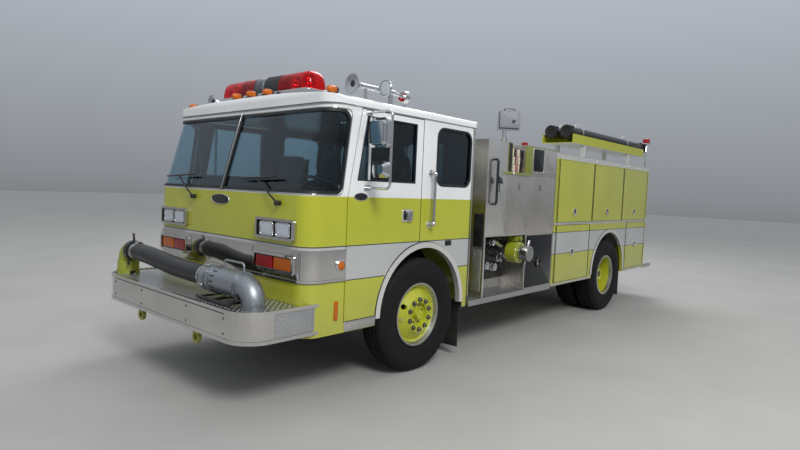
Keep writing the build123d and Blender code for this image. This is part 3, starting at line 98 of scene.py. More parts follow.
# Materials
MIDDLE = {"From Min": 0.3, "From Max": 0.7}     # where nearly all of a cloudy pattern's values lie
FAR = 9.0                                       # metres, beyond every part of the vehicle
BANDS_LOW, BANDS_HIGH = 0.4, 2.8                # heights between which the enamel's bands lie


def linear(code):
    """An sRGB hex value as linear red, green, blue and a full alpha."""
    value = np.array([int(code[i:i + 2], 16) for i in (1, 3, 5)]) / 255
    value = np.where(value <= 0.04045, value / 12.92, ((value + 0.055) / 1.055) ** 2.4)
    return (*value.tolist(), 1.0)


def connect(tree, node, links):
    """Gives each input its link, from a socket or from a node's first output, or its fixed value."""
    for socket, source in links.items():
        if isinstance(source, bpy.types.Node):
            source = source.outputs[0]
        if isinstance(source, bpy.types.NodeSocket):
            tree.links.new(source, node.inputs[socket])
        else:
            node.inputs[socket].default_value = source


def add_node(tree, kind, links=(), **settings):
    """Adds one shader node: its settings, then each input's link or fixed value."""
    node = tree.nodes.new("ShaderNode" + kind)
    for key, value in settings.items():
        setattr(node, key, value)
    connect(tree, node, dict(links))
    return node


def new_finish(name, colour, **sockets):
    """A material with its shader's own sockets set, and the parts that its pattern needs."""
    material = bpy.data.materials.new(name)
    material.use_nodes = True
    tree = material.node_tree
    shader = tree.nodes["Principled BSDF"]
    fixed = {socket.replace("_", " "): value for socket, value in sockets.items()}
    connect(tree, shader, {"Base Color": linear(colour), **fixed})
    return material, tree, shader, add_node(tree, "TexCoord").outputs["Object"]


def colour_stops(ramp, stops, mode="LINEAR"):
    """Sets a colour ramp's stops from (position, hex) pairs."""
    ramp.color_ramp.interpolation = mode
    elements = ramp.color_ramp.elements
    while len(elements) < len(stops):
        elements.new(1.0)
    for element, (position, code) in zip(elements, stops):
        element.position = position
        element.color = linear(code)


def toned(tree, colour, noise, low, high):
    """A colour scaled from low to high as the noise grows."""
    shade = add_node(tree, "MapRange", {"Value": noise, **MIDDLE, "To Min": low, "To Max": high})
    return add_node(tree, "VectorMath", {0: colour, "Scale": shade}, operation="SCALE")


def gloss_enamel(name, bands, trim_from=FAR, trim_behind=-FAR, rail_from=FAR, shade_inward_of=None):
    """Two-pack gloss enamel over steel: a clear, wet coat with a faint orange peel, colour bands by
    height as (height, hex), road dust low down, and bright steel beyond trim_from to the side (only
    behind trim_behind) or above rail_from. Faces turned towards the point given last are painted dark navy
    without their coat: painted shade inside the cab."""
    coat = 0.9
    material, tree, shader, place = new_finish(name, bands[0][1], Coat_Weight=coat, Coat_Roughness=0.04)
    x, y, z = add_node(tree, "SeparateXYZ", {"Vector": place}).outputs
    height = add_node(tree, "MapRange", {"Value": z, "From Min": BANDS_LOW, "From Max": BANDS_HIGH})
    paint = add_node(tree, "ValToRGB", {"Fac": height})
    span = BANDS_HIGH - BANDS_LOW
    colour_stops(paint, [(max(0.0, (low - BANDS_LOW) / span), code) for low, code in bands], "CONSTANT")
    cloud = add_node(tree, "TexNoise", {"Vector": place, "Scale": 1.7, "Detail": 3.0})
    grit = add_node(tree, "TexNoise", {"Vector": place, "Scale": 9.0, "Detail": 6.0, "Roughness": 0.7})
    near_road = add_node(tree, "MapRange", {"Value": z, "From Min": 1.0, "From Max": 0.5, "To Max": 0.5})
    dust = add_node(tree, "Math", {0: grit, 1: near_road}, operation="MULTIPLY")
    dusty = add_node(tree, "MixRGB", {"Fac": dust, "Color1": toned(tree, paint, cloud, 0.93, 1.04),
                                      "Color2": linear("#8A8269")})
    across = add_node(tree, "Math", {0: x}, operation="ABSOLUTE")
    beyond = add_node(tree, "Math", {0: across, 1: trim_from}, operation="GREATER_THAN")
    behind = add_node(tree, "Math", {0: y, 1: trim_behind}, operation="GREATER_THAN")
    proud = add_node(tree, "Math", {0: beyond, 1: behind}, operation="MULTIPLY")
    above = add_node(tree, "Math", {0: z, 1: rail_from}, operation="GREATER_THAN")
    bright = add_node(tree, "Math", {0: proud, 1: above}, operation="MAXIMUM")
    colour = add_node(tree, "MixRGB", {"Fac": bright, "Color1": dusty, "Color2": linear("#E4E2DE")})
    # Painted shade: faces turned in towards the given point are coloured dark navy and lose their coat, for
    # the shade inside the cab
    if shade_inward_of:
        middle = add_node(tree, "VectorMath", {0: shade_inward_of, 1: place}, operation="SUBTRACT")
        outwards = add_node(tree, "TexCoord").outputs["Normal"]
        towards = add_node(tree, "VectorMath", {0: middle, 1: outwards}, operation="DOT_PRODUCT")
        inside = add_node(tree, "Math", {0: towards.outputs["Value"], 1: 0.0}, operation="GREATER_THAN")
        colour = add_node(tree, "MixRGB", {"Fac": inside, "Color1": colour, "Color2": linear("#1C2A36")})
        outer = add_node(tree, "Math", {0: coat, 1: inside}, operation="SUBTRACT", use_clamp=True)
        connect(tree, shader, {"Coat Weight": outer})
    metal = add_node(tree, "Math", {0: bright, 1: 0.55}, operation="MULTIPLY")
    rough = add_node(tree, "MapRange", {"Value": dust, "To Min": 0.26, "To Max": 0.75})
    peel = add_node(tree, "TexNoise", {"Vector": place, "Scale": 160.0, "Detail": 1.0})
    bump = add_node(tree, "Bump", {"Height": peel, "Strength": 0.05, "Distance": 0.001})
    connect(tree, shader, {"Base Color": colour, "Metallic": metal, "Roughness": rough, "Normal": bump})
    return material


def bright_metal(name, colour, grain, rough=(0.1, 0.2), wave=0.0, peak=0.0003, streak=(1.0, 1.0, 1.0)):
    """Bare metal: grain is the pattern's count to the metre, streak stretches it along the brushing,
    rough its roughness range, and wave the slow buckling of thin sheet."""
    material, tree, shader, place = new_finish(name, colour, Metallic=1.0)
    along = add_node(tree, "Mapping", {"Vector": place, "Scale": streak})
    lines = add_node(tree, "TexNoise", {"Vector": along, "Scale": grain, "Detail": 4.0})
    spread = add_node(tree, "MapRange", {"Value": lines, **MIDDLE, "To Min": rough[0], "To Max": rough[1]})
    patch = add_node(tree, "TexNoise", {"Vector": place, "Scale": 3.0, "Detail": 4.0})
    relief = add_node(tree, "Bump", {"Height": lines, "Strength": 0.2, "Distance": peak})
    if wave:
        slow = add_node(tree, "TexNoise", {"Vector": place, "Scale": 1.6, "Detail": 1.0})
        relief = add_node(tree, "Bump", {"Height": slow, "Strength": 1.0, "Distance": wave,
                                         "Normal": relief})
    tinted = toned(tree, linear(colour)[:3], patch, 0.86, 1.0)
    connect(tree, shader, {"Base Color": tinted, "Roughness": spread, "Normal": relief})
    return material


def plain_coat(name, colour, second, grain, rough=(0.4, 0.6), depth=0.0004, **sockets):
    """A coat, moulding or rubber of two near colours mixed by a cloudy pattern, grain to the metre,
    that also gives its roughness range and its relief of depth metres."""
    material, tree, shader, place = new_finish(name, colour, **sockets)
    cloud = add_node(tree, "TexNoise", {"Vector": place, "Scale": grain, "Detail": 5.0, "Roughness": 0.6})
    mixed = add_node(tree, "ValToRGB", {"Fac": cloud})
    colour_stops(mixed, [(0.35, colour), (0.72, second)])
    spread = add_node(tree, "MapRange", {"Value": cloud, **MIDDLE, "To Min": rough[0], "To Max": rough[1]})
    grains = add_node(tree, "TexNoise", {"Vector": place, "Scale": grain * 12, "Detail": 2.0})
    bump = add_node(tree, "Bump", {"Height": grains, "Strength": 0.4, "Distance": depth})
    connect(tree, shader, {"Base Color": mixed, "Roughness": spread, "Normal": bump})
    return material


def split_finish(name, axis, stops, rough=0.3, centre=None):
    """One casting finished in several colours: stops are (place, hex, metallic) along an axis, outwards
    from the middle plane for the axis "across", or outwards from a centre line along X when centre
    gives its (y, z)."""
    material, tree, shader, place = new_finish(name, stops[0][1], Coat_Weight=0.2)
    low, high = stops[0][0], stops[-1][0] + 0.5
    if centre:
        offset = add_node(tree, "VectorMath", {0: place, 1: (0.0, *centre)}, operation="SUBTRACT")
        flat = add_node(tree, "VectorMath", {0: offset, 1: (0.0, 1.0, 1.0)}, operation="MULTIPLY")
        measure = add_node(tree, "VectorMath", {0: flat}, operation="LENGTH").outputs["Value"]
    else:
        axes = add_node(tree, "SeparateXYZ", {"Vector": place}).outputs
        if axis == "across":
            measure = add_node(tree, "Math", {0: axes["X"]}, operation="ABSOLUTE")
        else:
            measure = axes[axis]
    share = add_node(tree, "MapRange", {"Value": measure, "From Min": low, "From Max": high})
    paint, metal = add_node(tree, "ValToRGB", {"Fac": share}), add_node(tree, "ValToRGB", {"Fac": share})
    starts = [(start - low) / (high - low) for start, _, _ in stops]
    shares = [("#000000", "#FFFFFF")[bare] for _, _, bare in stops]
    colour_stops(paint, list(zip(starts, [code for _, code, _ in stops])), "CONSTANT")
    colour_stops(metal, list(zip(starts, shares)), "CONSTANT")
    cast = add_node(tree, "TexNoise", {"Vector": place, "Scale": 60.0, "Detail": 4.0})
    spread = add_node(tree, "MapRange", {"Value": cast, "To Min": rough - 0.12, "To Max": rough + 0.2})
    bump = add_node(tree, "Bump", {"Height": cast, "Strength": 0.3, "Distance": 0.0006})
    connect(tree, shader, {"Base Color": toned(tree, paint, cast, 0.85, 1.05), "Metallic": metal,
                           "Roughness": spread, "Normal": bump})
    return material


def clear_sheet(name, colour, **sockets):
    """Glass or moulded acrylic: see-through, with the faint dust film that a vehicle gathers."""
    material, tree, shader, place = new_finish(name, colour, **{"Transmission_Weight": 1.0, **sockets})
    film = add_node(tree, "TexNoise", {"Vector": place, "Scale": 7.0, "Detail": 5.0})
    spread = add_node(tree, "MapRange", {"Value": film, "From Min": 0.4, "From Max": 0.8,
                                         "To Min": 0.0, "To Max": 0.12})
    connect(tree, shader, {"Roughness": spread})
    return material


# Finishes: the paints' colours, and the heights, faces and radius at which a paint changes
LIME, WHITE, SILVER, LINE = "#B4B72C", "#E9EBEA", "#B4B6B4", "#3B3D36"
LIME_IN_SHADE, ARCH_SHADE, RIM_GREY = "#7D8420", "#98A62F", "#C4C4C2"
CAB_MIDDLE = (0.0, -2.55, 1.55)
LINE_WIDTH = 0.008
SKIN_TRIM, LOCKER_TRIM, ARCH_TRIM = 1.2206, 1.2315, 1.1752      # the faces beyond which trim is bright
TOP_RAIL, DOOR_REAR, RIM_RADIUS = 2.206, -2.9, 0.2665
BODY_BANDS = [(BANDS_LOW, LIME), (STRIPE[0] - LINE_WIDTH, LINE), (STRIPE[0], SILVER), (STRIPE[1], LINE),
              (STRIPE[1] + LINE_WIDTH, LIME)]
CAB_BANDS = BODY_BANDS + [(BELT - LINE_WIDTH / 2, WHITE)]
# Two-pack enamel, lime yellow and white: deep gloss, clean above, dusty along the sills
# The cab, door and roof enamels carry painted shade: dark navy on faces turned in towards the cab's middle
CAB_ENAMEL = gloss_enamel("two_pack_enamel_cab", CAB_BANDS, shade_inward_of=CAB_MIDDLE)
DOOR_ENAMEL = gloss_enamel("two_pack_enamel_door", CAB_BANDS, SKIN_TRIM, DOOR_REAR, shade_inward_of=CAB_MIDDLE)
BODY_ENAMEL = gloss_enamel("two_pack_enamel_body", BODY_BANDS, SKIN_TRIM, rail_from=TOP_RAIL)
LOCKER_ENAMEL = gloss_enamel("two_pack_enamel_lockers", BODY_BANDS, LOCKER_TRIM)
ARCH_ENAMEL = gloss_enamel("two_pack_enamel_arches", [(BANDS_LOW, ARCH_SHADE)], ARCH_TRIM)
ROOF_ENAMEL = gloss_enamel("two_pack_enamel_roof", [(BANDS_LOW, WHITE)], shade_inward_of=CAB_MIDDLE)
WHITE_ENAMEL = gloss_enamel("two_pack_enamel_white", [(BANDS_LOW, WHITE)])
# Painted shade: the same lime enamel darkened to a deep olive, as it looks in the shade of the pump recess
SHADED_LIME = gloss_enamel("two_pack_enamel_lime_painted_shade", [(BANDS_LOW, LIME_IN_SHADE)])
# Mirror-bright chrome plate, and polished stainless sheet that buckles softly between its bends
CHROME = bright_metal("chrome_plate", "#DADBDD", 40.0, (0.03, 0.09))
POLISHED = bright_metal("polished_stainless", "#CFCDCA", 30.0, (0.03, 0.1), wave=0.01)
# Brushed stainless: fine upright lines, drawn coarser than the real ones so that they show
BRUSHED = bright_metal("brushed_stainless", "#D3CEC6", 12.0, (0.24, 0.36), 0.008, 0.00002, (6.0, 6.0, 0.4))
LIGHT_PANEL = bright_metal("bright_stainless", "#E6E2DC", 12.0, (0.22, 0.34), 0.006, 0.00003)
# Vacuum-coated reflectors and silvered mirrors: one milky, one clear
REFLECTOR = bright_metal("aluminised_reflector", "#E4E9EE", 50.0, (0.25, 0.4))
MIRROR = bright_metal("silvered_mirror", "#DDE2E4", 12.0, (0.01, 0.03))
# Dull zinc plate and galvanising, and pressed, mill-finish and sand-cast aluminium, from even to grainy
ZINC = bright_metal("zinc_plated_steel", "#6A6B68", 90.0, (0.3, 0.45))
GALVANISED = bright_metal("galvanised_housing", "#9DA1A6", 90.0, (0.35, 0.55))
TREAD = bright_metal("tread_plate_aluminium", "#C2C3C4", 60.0, (0.32, 0.48), peak=0.0002)
MILL = bright_metal("mill_finish_aluminium", "#D2D1CD", 40.0, (0.42, 0.58), peak=0.0001)
CAST = bright_metal("cast_aluminium", "#B4B5B5", 260.0, (0.32, 0.5), peak=0.0012)
# Black mirror panel: dark and glossy, with the slow waves of thin sheet
DARK_PANEL = bright_metal("black_mirror_panel", "#45474A", 14.0, (0.06, 0.14), 0.004, 0.00003)
# Rubbers: tyre tread dusty and matt, mud flaps dusty, hose, gaskets and door edges smoother
TYRE = plain_coat("tyre_rubber", "#0A0A0C", "#181716", 9.0, (0.62, 0.9), 0.0006, Specular_IOR_Level=0.3)
FLAP = plain_coat("mud_flap_rubber", "#161616", "#3B3731", 6.0, (0.6, 0.85))
RUBBER = plain_coat("black_rubber", "#101011", "#1F1F20", 14.0, (0.42, 0.62))
HOSE = plain_coat("suction_hose_rubber", "#151517", "#26262A", 6.0, (0.3, 0.45), 0.0008)
EDGE_SEAL = plain_coat("door_edge_rubber", "#262A12", "#30351A", 14.0, (0.42, 0.62))
# Paints, mouldings and grained vinyl of the chassis, the lamps and the cab
CHASSIS = plain_coat("chassis_black_paint", "#17181A", "#34312C", 5.0, (0.4, 0.75))
LAMP_GREY = plain_coat("lamp_housing_paint", "#8E9096", "#7F8187", 30.0, (0.4, 0.55))
SATIN_BLACK = plain_coat("satin_black_paint", "#121214", "#1E1E20", 12.0, (0.3, 0.42), Coat_Weight=0.15)
ABS = plain_coat("black_abs_moulding", "#1B1C1E", "#29292B", 30.0, (0.45, 0.6))
VINYL = plain_coat("black_vinyl", "#1A1A1C", "#2B2B2E", 34.0, (0.38, 0.52), 0.0007)
# Woven polyester hose jackets, matt with a faint sheen
JACKETS = {tone: plain_coat(f"woven_jacket_{label}", *colours, 28.0, (0.8, 0.95), 0.0012, Sheen_Weight=0.2)
           for tone, label, colours in (("pale", "white", ("#D9D3C4", "#B4A893")),
                                        ("red", "red", ("#B98A80", "#8E5A52")),
                                        ("dark", "black", ("#242326", "#3A3537")))}
# Laminated green-blue glazing, moulded acrylic lenses, and the milky look of a prismatic beam glass
GLAZING = clear_sheet("tinted_safety_glass", "#B2CEDA", IOR=1.4, Specular_IOR_Level=0.25)
LENS_RED = clear_sheet("red_acrylic_lens", "#C5141B", IOR=1.49, Transmission_Weight=0.5)
LENS_AMBER = clear_sheet("amber_acrylic_lens", "#EE7A08", IOR=1.49, Transmission_Weight=0.45)
LENS_CLEAR = clear_sheet("clear_acrylic_lens", "#E8EFF5", IOR=1.49)
BEAM_GLASS = clear_sheet("prismatic_beam_glass", "#EAF2FA", IOR=1.5, Transmission_Weight=0.45)
DOME_RED = clear_sheet("red_acrylic_dome", "#F42A32", IOR=1.25, Transmission_Weight=0.88)
# Castings and welded parts painted in more than one colour: sandy under the paint, bare where they wear
SWIVEL = split_finish("swivel_and_strainer_casting", "X",
                      [(-1.3, "#9AA033", 0), (-0.965, "#1C1C1E", 0), (0.3, "#9EA3A8", 1)], 0.42)
PUMP_PARTS = split_finish("valves_and_intake", "across",
                          [(0.0, "#D2D3D4", 1), (1.1015, "#9AA22A", 0), (1.237, "#B9BABA", 1)], 0.24)
# Grab rails: plain brushed steel on the cab and tail, dark knurled grip on the pump module
RAIL_STEEL = split_finish("brushed_and_gripped_rails", "Y",
                          [(-4.2, "#B2B4B5", 1), (-1.335, "#4A4D50", 1), (-0.6, "#B2B4B5", 1)], 0.28)
RACK_PAINT = split_finish("hose_rack_enamel", "Z", [(2.0, "#C9CCC8", 0), (2.45, LIME, 0)])
DECK_PLATE = split_finish("deck_plate_and_cradle", "Z", [(0.0, "#AEAFB0", 1), (0.7965, "#141416", 0)])
FRAME_PAINT = split_finish("chassis_and_tow_eyes", "Z", [(0.0, "#93962E", 0), (0.575, "#1B1B1D", 0)], 0.45)
# Lime wheels with a bright rim edge
FRONT_WHEEL, REAR_WHEEL = [
    split_finish(f"wheel_enamel_{end}", "Y", [(0.0, LIME, 0), (RIM_RADIUS, RIM_GREY, 1)],
                 centre=(axle, AXLE_Z))
    for end, axle in (("front", FRONT_AXLE), ("rear", REAR_AXLE))]

FINISHES = {
    CAB_ENAMEL: "cab_front cab_sides cab_rear", DOOR_ENAMEL: "cab_door_left cab_door_right",
    BODY_ENAMEL: "lockers_left lockers_right", ROOF_ENAMEL: "cab_roof", ARCH_ENAMEL: "front_arches",
    LOCKER_ENAMEL: " ".join(name for name in NODES if name.startswith("locker_door")),
    RACK_PAINT: "suction_rack", CHROME: "roof_horns mirrors_left mirrors_right", RAIL_STEEL: "handrails",
    POLISHED: "bumper front_band", BRUSHED: "pump_module hose_bed", TREAD: "step_boards",
    DECK_PLATE: "bumper_deck", SWIVEL: "suction_fittings", PUMP_PARTS: "pump_fittings",
    RUBBER: "windscreen_rubber", HOSE: "suction_hoses", FLAP: "mud_flaps", FRAME_PAINT: "frame",
    CHASSIS: "front_axle rear_axle power_train knuckle_left knuckle_right",
    SATIN_BLACK: "wipers cab_floor", ABS: "dashboard", LAMP_GREY: "floodlight",
    GLAZING: "cab_glass door_glass_left door_glass_right",
    FRONT_WHEEL: "wheel_front_left wheel_front_right", REAR_WHEEL: "wheels_rear_left wheels_rear_right",
}
for finish, names in FINISHES.items():
    for name in names.split():
        NODES[name].data.materials.clear()
        NODES[name].data.materials.append(finish)


# Surfaces: every shape below is (points, faces), worked out as whole arrays
def grid(points, wrap_rows=False, wrap_cols=False, cap=False):
    """The faces between neighbouring points of a rows by columns surface, wrapped or capped at its ends."""
    rows, cols = points.shape[:2]
    index = np.arange(rows * cols).reshape(rows, cols)
    if wrap_rows:
        index = np.concatenate([index, index[:1]])
    if wrap_cols:
        index = np.concatenate([index, index[:, :1]], axis=1)
    corners = [index[:-1, :-1], index[1:, :-1], index[1:, 1:], index[:-1, 1:]]
    faces = np.stack(corners, -1).reshape(-1, 4).tolist()
    if cap:
        faces += [index[0, :cols][::-1].tolist(), index[-1, :cols].tolist()]
    return points.reshape(-1, 3), faces


def across_of(axis):
    """Two unit directions square to an axis, and the axis as a unit."""
    axis = np.asarray(axis, float)
    axis = axis / np.linalg.norm(axis)
    side = np.cross(axis, UP) if abs(axis[2]) < 0.9 else np.array(ACROSS, float)
    side = side / np.linalg.norm(side)
    return side, np.cross(axis, side), axis


def turned(profile, centre, axis=ACROSS, steps=28):
    """A profile of (along, radius) turned once round an axis through centre:
    centre + axis * along + radius * (side * cos + up * sin)."""
    profile = np.asarray(profile, float)
    side, up, axis = across_of(axis)
    turn = np.linspace(0, 2 * np.pi, steps, endpoint=False)
    ring = np.cos(turn)[:, None] * side + np.sin(turn)[:, None] * up
    points = np.asarray(centre, float) + profile[:, 0, None, None] * axis + profile[:, 1, None, None] * ring
    return grid(points, wrap_cols=True, cap=True)


def disc(length, radius, edge=0.0015):
    """The profile of a round plate or bar with a small rounded edge."""
    return [(0, radius), (length - edge, radius), (length - edge * 0.3, radius - edge * 0.3),
        (length, radius - edge), (length, 0)]


def swept(path, section, normal, closed=False):
    """A section of (side, up) points carried along a path, flat in the plane with that normal or with
    a normal for each of its points: path + normal * side + (normal x tangent) * up."""
    path, section = np.asarray(path, float), np.asarray(section, float)
    normal = np.broadcast_to(np.asarray(normal, float), path.shape)
    normal = normal / np.linalg.norm(normal, axis=1, keepdims=True)
    tangent = np.roll(path, -1, 0) - np.roll(path, 1, 0) if closed else np.gradient(path, axis=0)
    tangent = tangent / np.linalg.norm(tangent, axis=1, keepdims=True)
    up = np.cross(normal, tangent)
    points = path[:, None] + section[None, :, :1] * normal[:, None] + section[None, :, 1:] * up[:, None]
    return grid(points, wrap_rows=closed, wrap_cols=True, cap=not closed)


def ring_section(radius, steps=10):
    """A round section's outline."""
    turn = np.linspace(0, 2 * np.pi, steps, endpoint=False)
    return np.stack([np.cos(turn), np.sin(turn)], -1) * radius


def rounded(width, height, radius, steps=5):
    """A rounded rectangle's outline, anticlockwise: four quarter circles of the radius."""
    turn = np.linspace(0, np.pi / 2, steps)
    corner = np.stack([np.cos(turn), np.sin(turn)], -1) * radius + (width / 2 - radius, height / 2 - radius)
    return np.concatenate([corner, corner[::-1] * (-1, 1), -corner, corner[::-1] * (1, -1)])


def smooth(points, rounds=3):
    """A run of corners cut soft: each round moves every corner to a quarter along its two runs."""
    points = np.asarray(points, float)
    for _ in range(rounds):
        cut = np.stack([0.75 * points[:-1] + 0.25 * points[1:], 0.25 * points[:-1] + 0.75 * points[1:]], 1)
        points = np.concatenate([points[:1], cut.reshape(-1, points.shape[1]), points[-1:]])
    return points


def plate(outline, place, facing, depth, edge=0.002):
    """A plate with a softened front edge: the outline at growing depths, moved in along its normal by
    edge * (1 - cos) as it rises by edge * sin."""
    outline = np.asarray(outline, float)
    tangent = np.roll(outline, -1, 0) - np.roll(outline, 1, 0)
    inward = np.stack([-tangent[:, 1], tangent[:, 0]], -1)
    inward = inward / np.maximum(np.linalg.norm(inward, axis=1, keepdims=True), 1e-9)
    turn = np.linspace(0, np.pi / 2, 4)
    inset = np.concatenate([[0.0], edge * (1 - np.cos(turn))])
    rise = np.concatenate([[0.0], depth - edge + edge * np.sin(turn)])
    flat = outline[None] + inset[:, None, None] * inward[None]
    points = np.asarray(place, float) + flat[..., :1] * facing[0] + flat[..., 1:] * facing[1]
    points = points + rise[:, None, None] * facing[2]
    return grid(points, wrap_cols=True, cap=True)


def frame_ring(outline, place, facing, section):
    """A section of (outwards from the face, across the band) carried round an outline."""
    path = np.asarray(place, float) + outline[:, :1] * facing[0] + outline[:, 1:] * facing[1]
    return swept(path, section, facing[2], closed=True)


def half_round(width, height, steps=7):
    """A low half-round section: (height * sin, width / 2 * cos), closed along its flat back."""
    turn = np.linspace(0, np.pi, steps)
    return np.stack([height * np.sin(turn), width / 2 * np.cos(turn)], -1)


def copies(shape, places):
    """One shape repeated at each of several places."""
    points, faces = shape
    places = np.asarray(places, float).reshape(-1, 3)
    moved = (points[None] + places[:, None]).reshape(-1, 3)
    step = len(points)
    return moved, [[i + k * step for i in face] for k in range(len(places)) for face in faces]


def joined(*shapes):
    """Several shapes as one."""
    points, faces, start = [], [], 0
    for some, sides in shapes:
        points.append(some)
        faces += [[i + start for i in face] for face in sides]
        start += len(some)
    return np.concatenate(points), faces


def mirrored(shape):
    """The shape on the other side of the vehicle."""
    points, faces = shape
    return points * (-1, 1, 1), [face[::-1] for face in faces]


def both(*shapes):
    """The shapes and their mirror images."""
    return joined(*shapes, mirrored(joined(*shapes)))


def piece(name, finish, *shapes, body="root", slot=None, replaces=(), sharp=35):
    """Makes a closed mesh of the shapes, faces outwards, riding on a body, with its finish; slot is not
    used.
    """
    points, faces = joined(*shapes)
    mesh = bpy.data.meshes.new(name)
    mesh.from_pydata(points.tolist(), [], faces)
    work = bmesh.new()
    work.from_mesh(mesh)
    bmesh.ops.remove_doubles(work, verts=work.verts, dist=1e-6)
    bmesh.ops.recalc_face_normals(work, faces=work.faces)
    work.to_mesh(mesh)
    work.free()
    mesh.materials.append(finish)
    mesh.shade_smooth()
    mesh.set_sharp_from_angle(angle=math.radians(sharp))
    made = placed(name, mesh)
    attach(made, body)
    if replaces:
        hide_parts(*replaces)
    return made


def pair(name, finish, body, *shapes, replaces=(), sharp=35):
    """The piece on the driver's side and its mirror image, each on its own side's body."""
    shape = joined(*shapes)
    for side, made in (("left", shape), ("right", mirrored(shape))):
        piece(f"{name}_{side}", finish, made, body=f"{body}_{side}",
              replaces=[f"{node}_{side}" for node in replaces], sharp=sharp)


def bar(start, end, radius, steps=12):
    """A round bar between two points."""
    start, end = np.asarray(start, float), np.asarray(end, float)
    length = float(np.linalg.norm(end - start))
    return turned(disc(length, radius, radius * 0.12), start, end - start, steps)


def box(low, high, edge=0.002):
    """A block between two corners with a softened top edge, as a plate facing upwards."""
    low, high = np.asarray(low, float), np.asarray(high, float)
    width, length, height = high - low
    middle = ((low[0] + high[0]) / 2, (low[1] + high[1]) / 2, low[2])
    outline = rounded(width, length, min(edge, width / 3, length / 3), 3)
    return plate(outline, middle, TOP, height, min(edge, height / 3))


# Tyres: ribbed road tread with zigzag grooves, notched shoulders and ringed walls
def tyre(centre, axle_y, pitches=60):
    """Columns of the section, each with a groove depth and a share of the zigzag, turned round the
    axle: x = column + share * zigzag(angle), radius = crown - depth."""
    wall = [(0.11, 0.302), (0.119, 0.308), (0.121, 0.318), (0.1175, 0.324), (0.1255, 0.34), (0.1345, 0.372),
        (0.1395, 0.405), (0.14, 0.43), (0.1385, 0.455), (0.139, 0.462), (0.136, 0.468), (0.1355, 0.486),
        (0.129, 0.506), (0.1235, 0.515), (0.115, 0.5265)]
    half_tread, shoulder_radius, bulge = 0.104, 0.534, 0.009
    groove, sway, notched = 0.014, 0.0055, 0.006        # depths of grooves, zigzag and shoulder notches
    tread = [(half_tread, 0.0, 0.0), (0.096, 0.0, 0.3), (0.0735, 0.0, 1.0), (0.0725, 1.0, 1.0),
        (0.0605, 1.0, 1.0), (0.0595, 0.0, 1.0), (0.033, 0.0, 1.0), (0.032, 1.0, 1.0), (0.021, 1.0, 1.0),
        (0.02, 0.0, 1.0), (0.0, 0.0, 1.0)]
    tread = np.array(tread + [(-x, d, s) for x, d, s in tread[-2::-1]])
    wall = np.array(wall)
    base = np.concatenate([wall[:, 0], tread[:, 0], -wall[::-1, 0]])
    crown = shoulder_radius + bulge * (1 - (tread[:, 0] / half_tread) ** 2)
    radius = np.concatenate([wall[:, 1], crown, wall[::-1, 1]])
    depth = np.concatenate([wall[:, 0] * 0, tread[:, 1], wall[:, 0] * 0]) * groove
    share = np.concatenate([wall[:, 0] * 0, tread[:, 2], wall[:, 0] * 0])
    notch = np.clip(1 - np.abs(np.abs(base) - 0.112) / 0.012, 0, 1) * notched
    step = np.arange(pitches * 6)
    zigzag = np.array([-1.0, -0.4, 0.4, 1.0, 0.4, -0.4])[step % 6] * sway
    cut = np.array([0.0, 0.0, 0.0, 1.0, 1.0, 0.0])[step % 6]
    turn = 2 * np.pi * step / (pitches * 6)
    x = centre + base[None] + share[None] * zigzag[:, None]
    r = (radius - depth)[None] - notch[None] * cut[:, None]
    points = np.stack([x, axle_y + r * np.cos(turn)[:, None], AXLE_Z + r * np.sin(turn)[:, None]], -1)
    return grid(points, wrap_rows=True, wrap_cols=True)


# The tread's edges are crisp: they stay sharp from 25 degrees on
FRONT_TYRE, OUTER_TYRE, INNER_TYRE = 1.060, 1.072, 0.742        # the tyres' middles, from the vehicle's
pair("front_tyre_tread", TYRE, "wheel_front", tyre(FRONT_TYRE, FRONT_AXLE), replaces=["tyre_front"],
     sharp=25)
pair("rear_twin_tyres", TYRE, "wheel_rear", tyre(OUTER_TYRE, REAR_AXLE), tyre(INNER_TYRE, REAR_AXLE),
     replaces=["tyres_rear"], sharp=25)


# Wheel nuts, hub bolts and valve stems
def radial(turn):
    """The directions outwards and onwards at a turn round an axis along X."""
    return (np.array((0.0, math.cos(turn), math.sin(turn))),
        np.array((0.0, -math.sin(turn), math.cos(turn))))


def ring_of(shape_at, count, radius, axle_y, start=0.5):
    """Shapes made at equal turns round an axle."""
    turns = 2 * np.pi * (np.arange(count) + start) / count
    return joined(*[shape_at(axle_y + radius * math.cos(t), AXLE_Z + radius * math.sin(t)) for t in turns])


def nut(x, y, z, size=0.0185):
    """A flanged hexagon nut on the end of its stud."""
    flange = turned([(0, size * 1.25), (0.003, size * 1.25), (0.005, size)], (x, y, z), steps=18)
    hexagon = turned([(0.004, size), (0.021, size), (0.024, size * 0.86), (0.024, 0)], (x, y, z), steps=6)
    return joined(flange, hexagon, turned(disc(0.031, 0.0105), (x, y, z), steps=10))


STUDS, STUD_CIRCLE, HUB_BOLTS, HUB_CIRCLE = 10, 0.143, 8, 0.085
pair("front_wheel_nuts", ZINC, "wheel_front",
     ring_of(lambda y, z: nut(1.1855, y, z), STUDS, STUD_CIRCLE, FRONT_AXLE),
     ring_of(lambda y, z: turned(disc(0.008, 0.009), (1.1495, y, z), steps=6), HUB_BOLTS, HUB_CIRCLE,
             FRONT_AXLE))
pair("rear_wheel_nuts", ZINC, "wheel_rear",
     ring_of(lambda y, z: nut(0.9195, y, z), STUDS, STUD_CIRCLE, REAR_AXLE))
for label, x, y0 in (("front", 1.128, FRONT_AXLE), ("rear", 1.1, REAR_AXLE)):
    stem = smooth([(x - 0.01, y0 - 0.245, AXLE_Z - 0.02), (x + 0.03, y0 - 0.238, AXLE_Z - 0.02),
            (x + 0.055, y0 - 0.222, AXLE_Z - 0.02)])
    pair(f"{label}_valve_stem", CHROME, f"wheel_{label}", swept(stem, ring_section(0.0045, 8), UP))


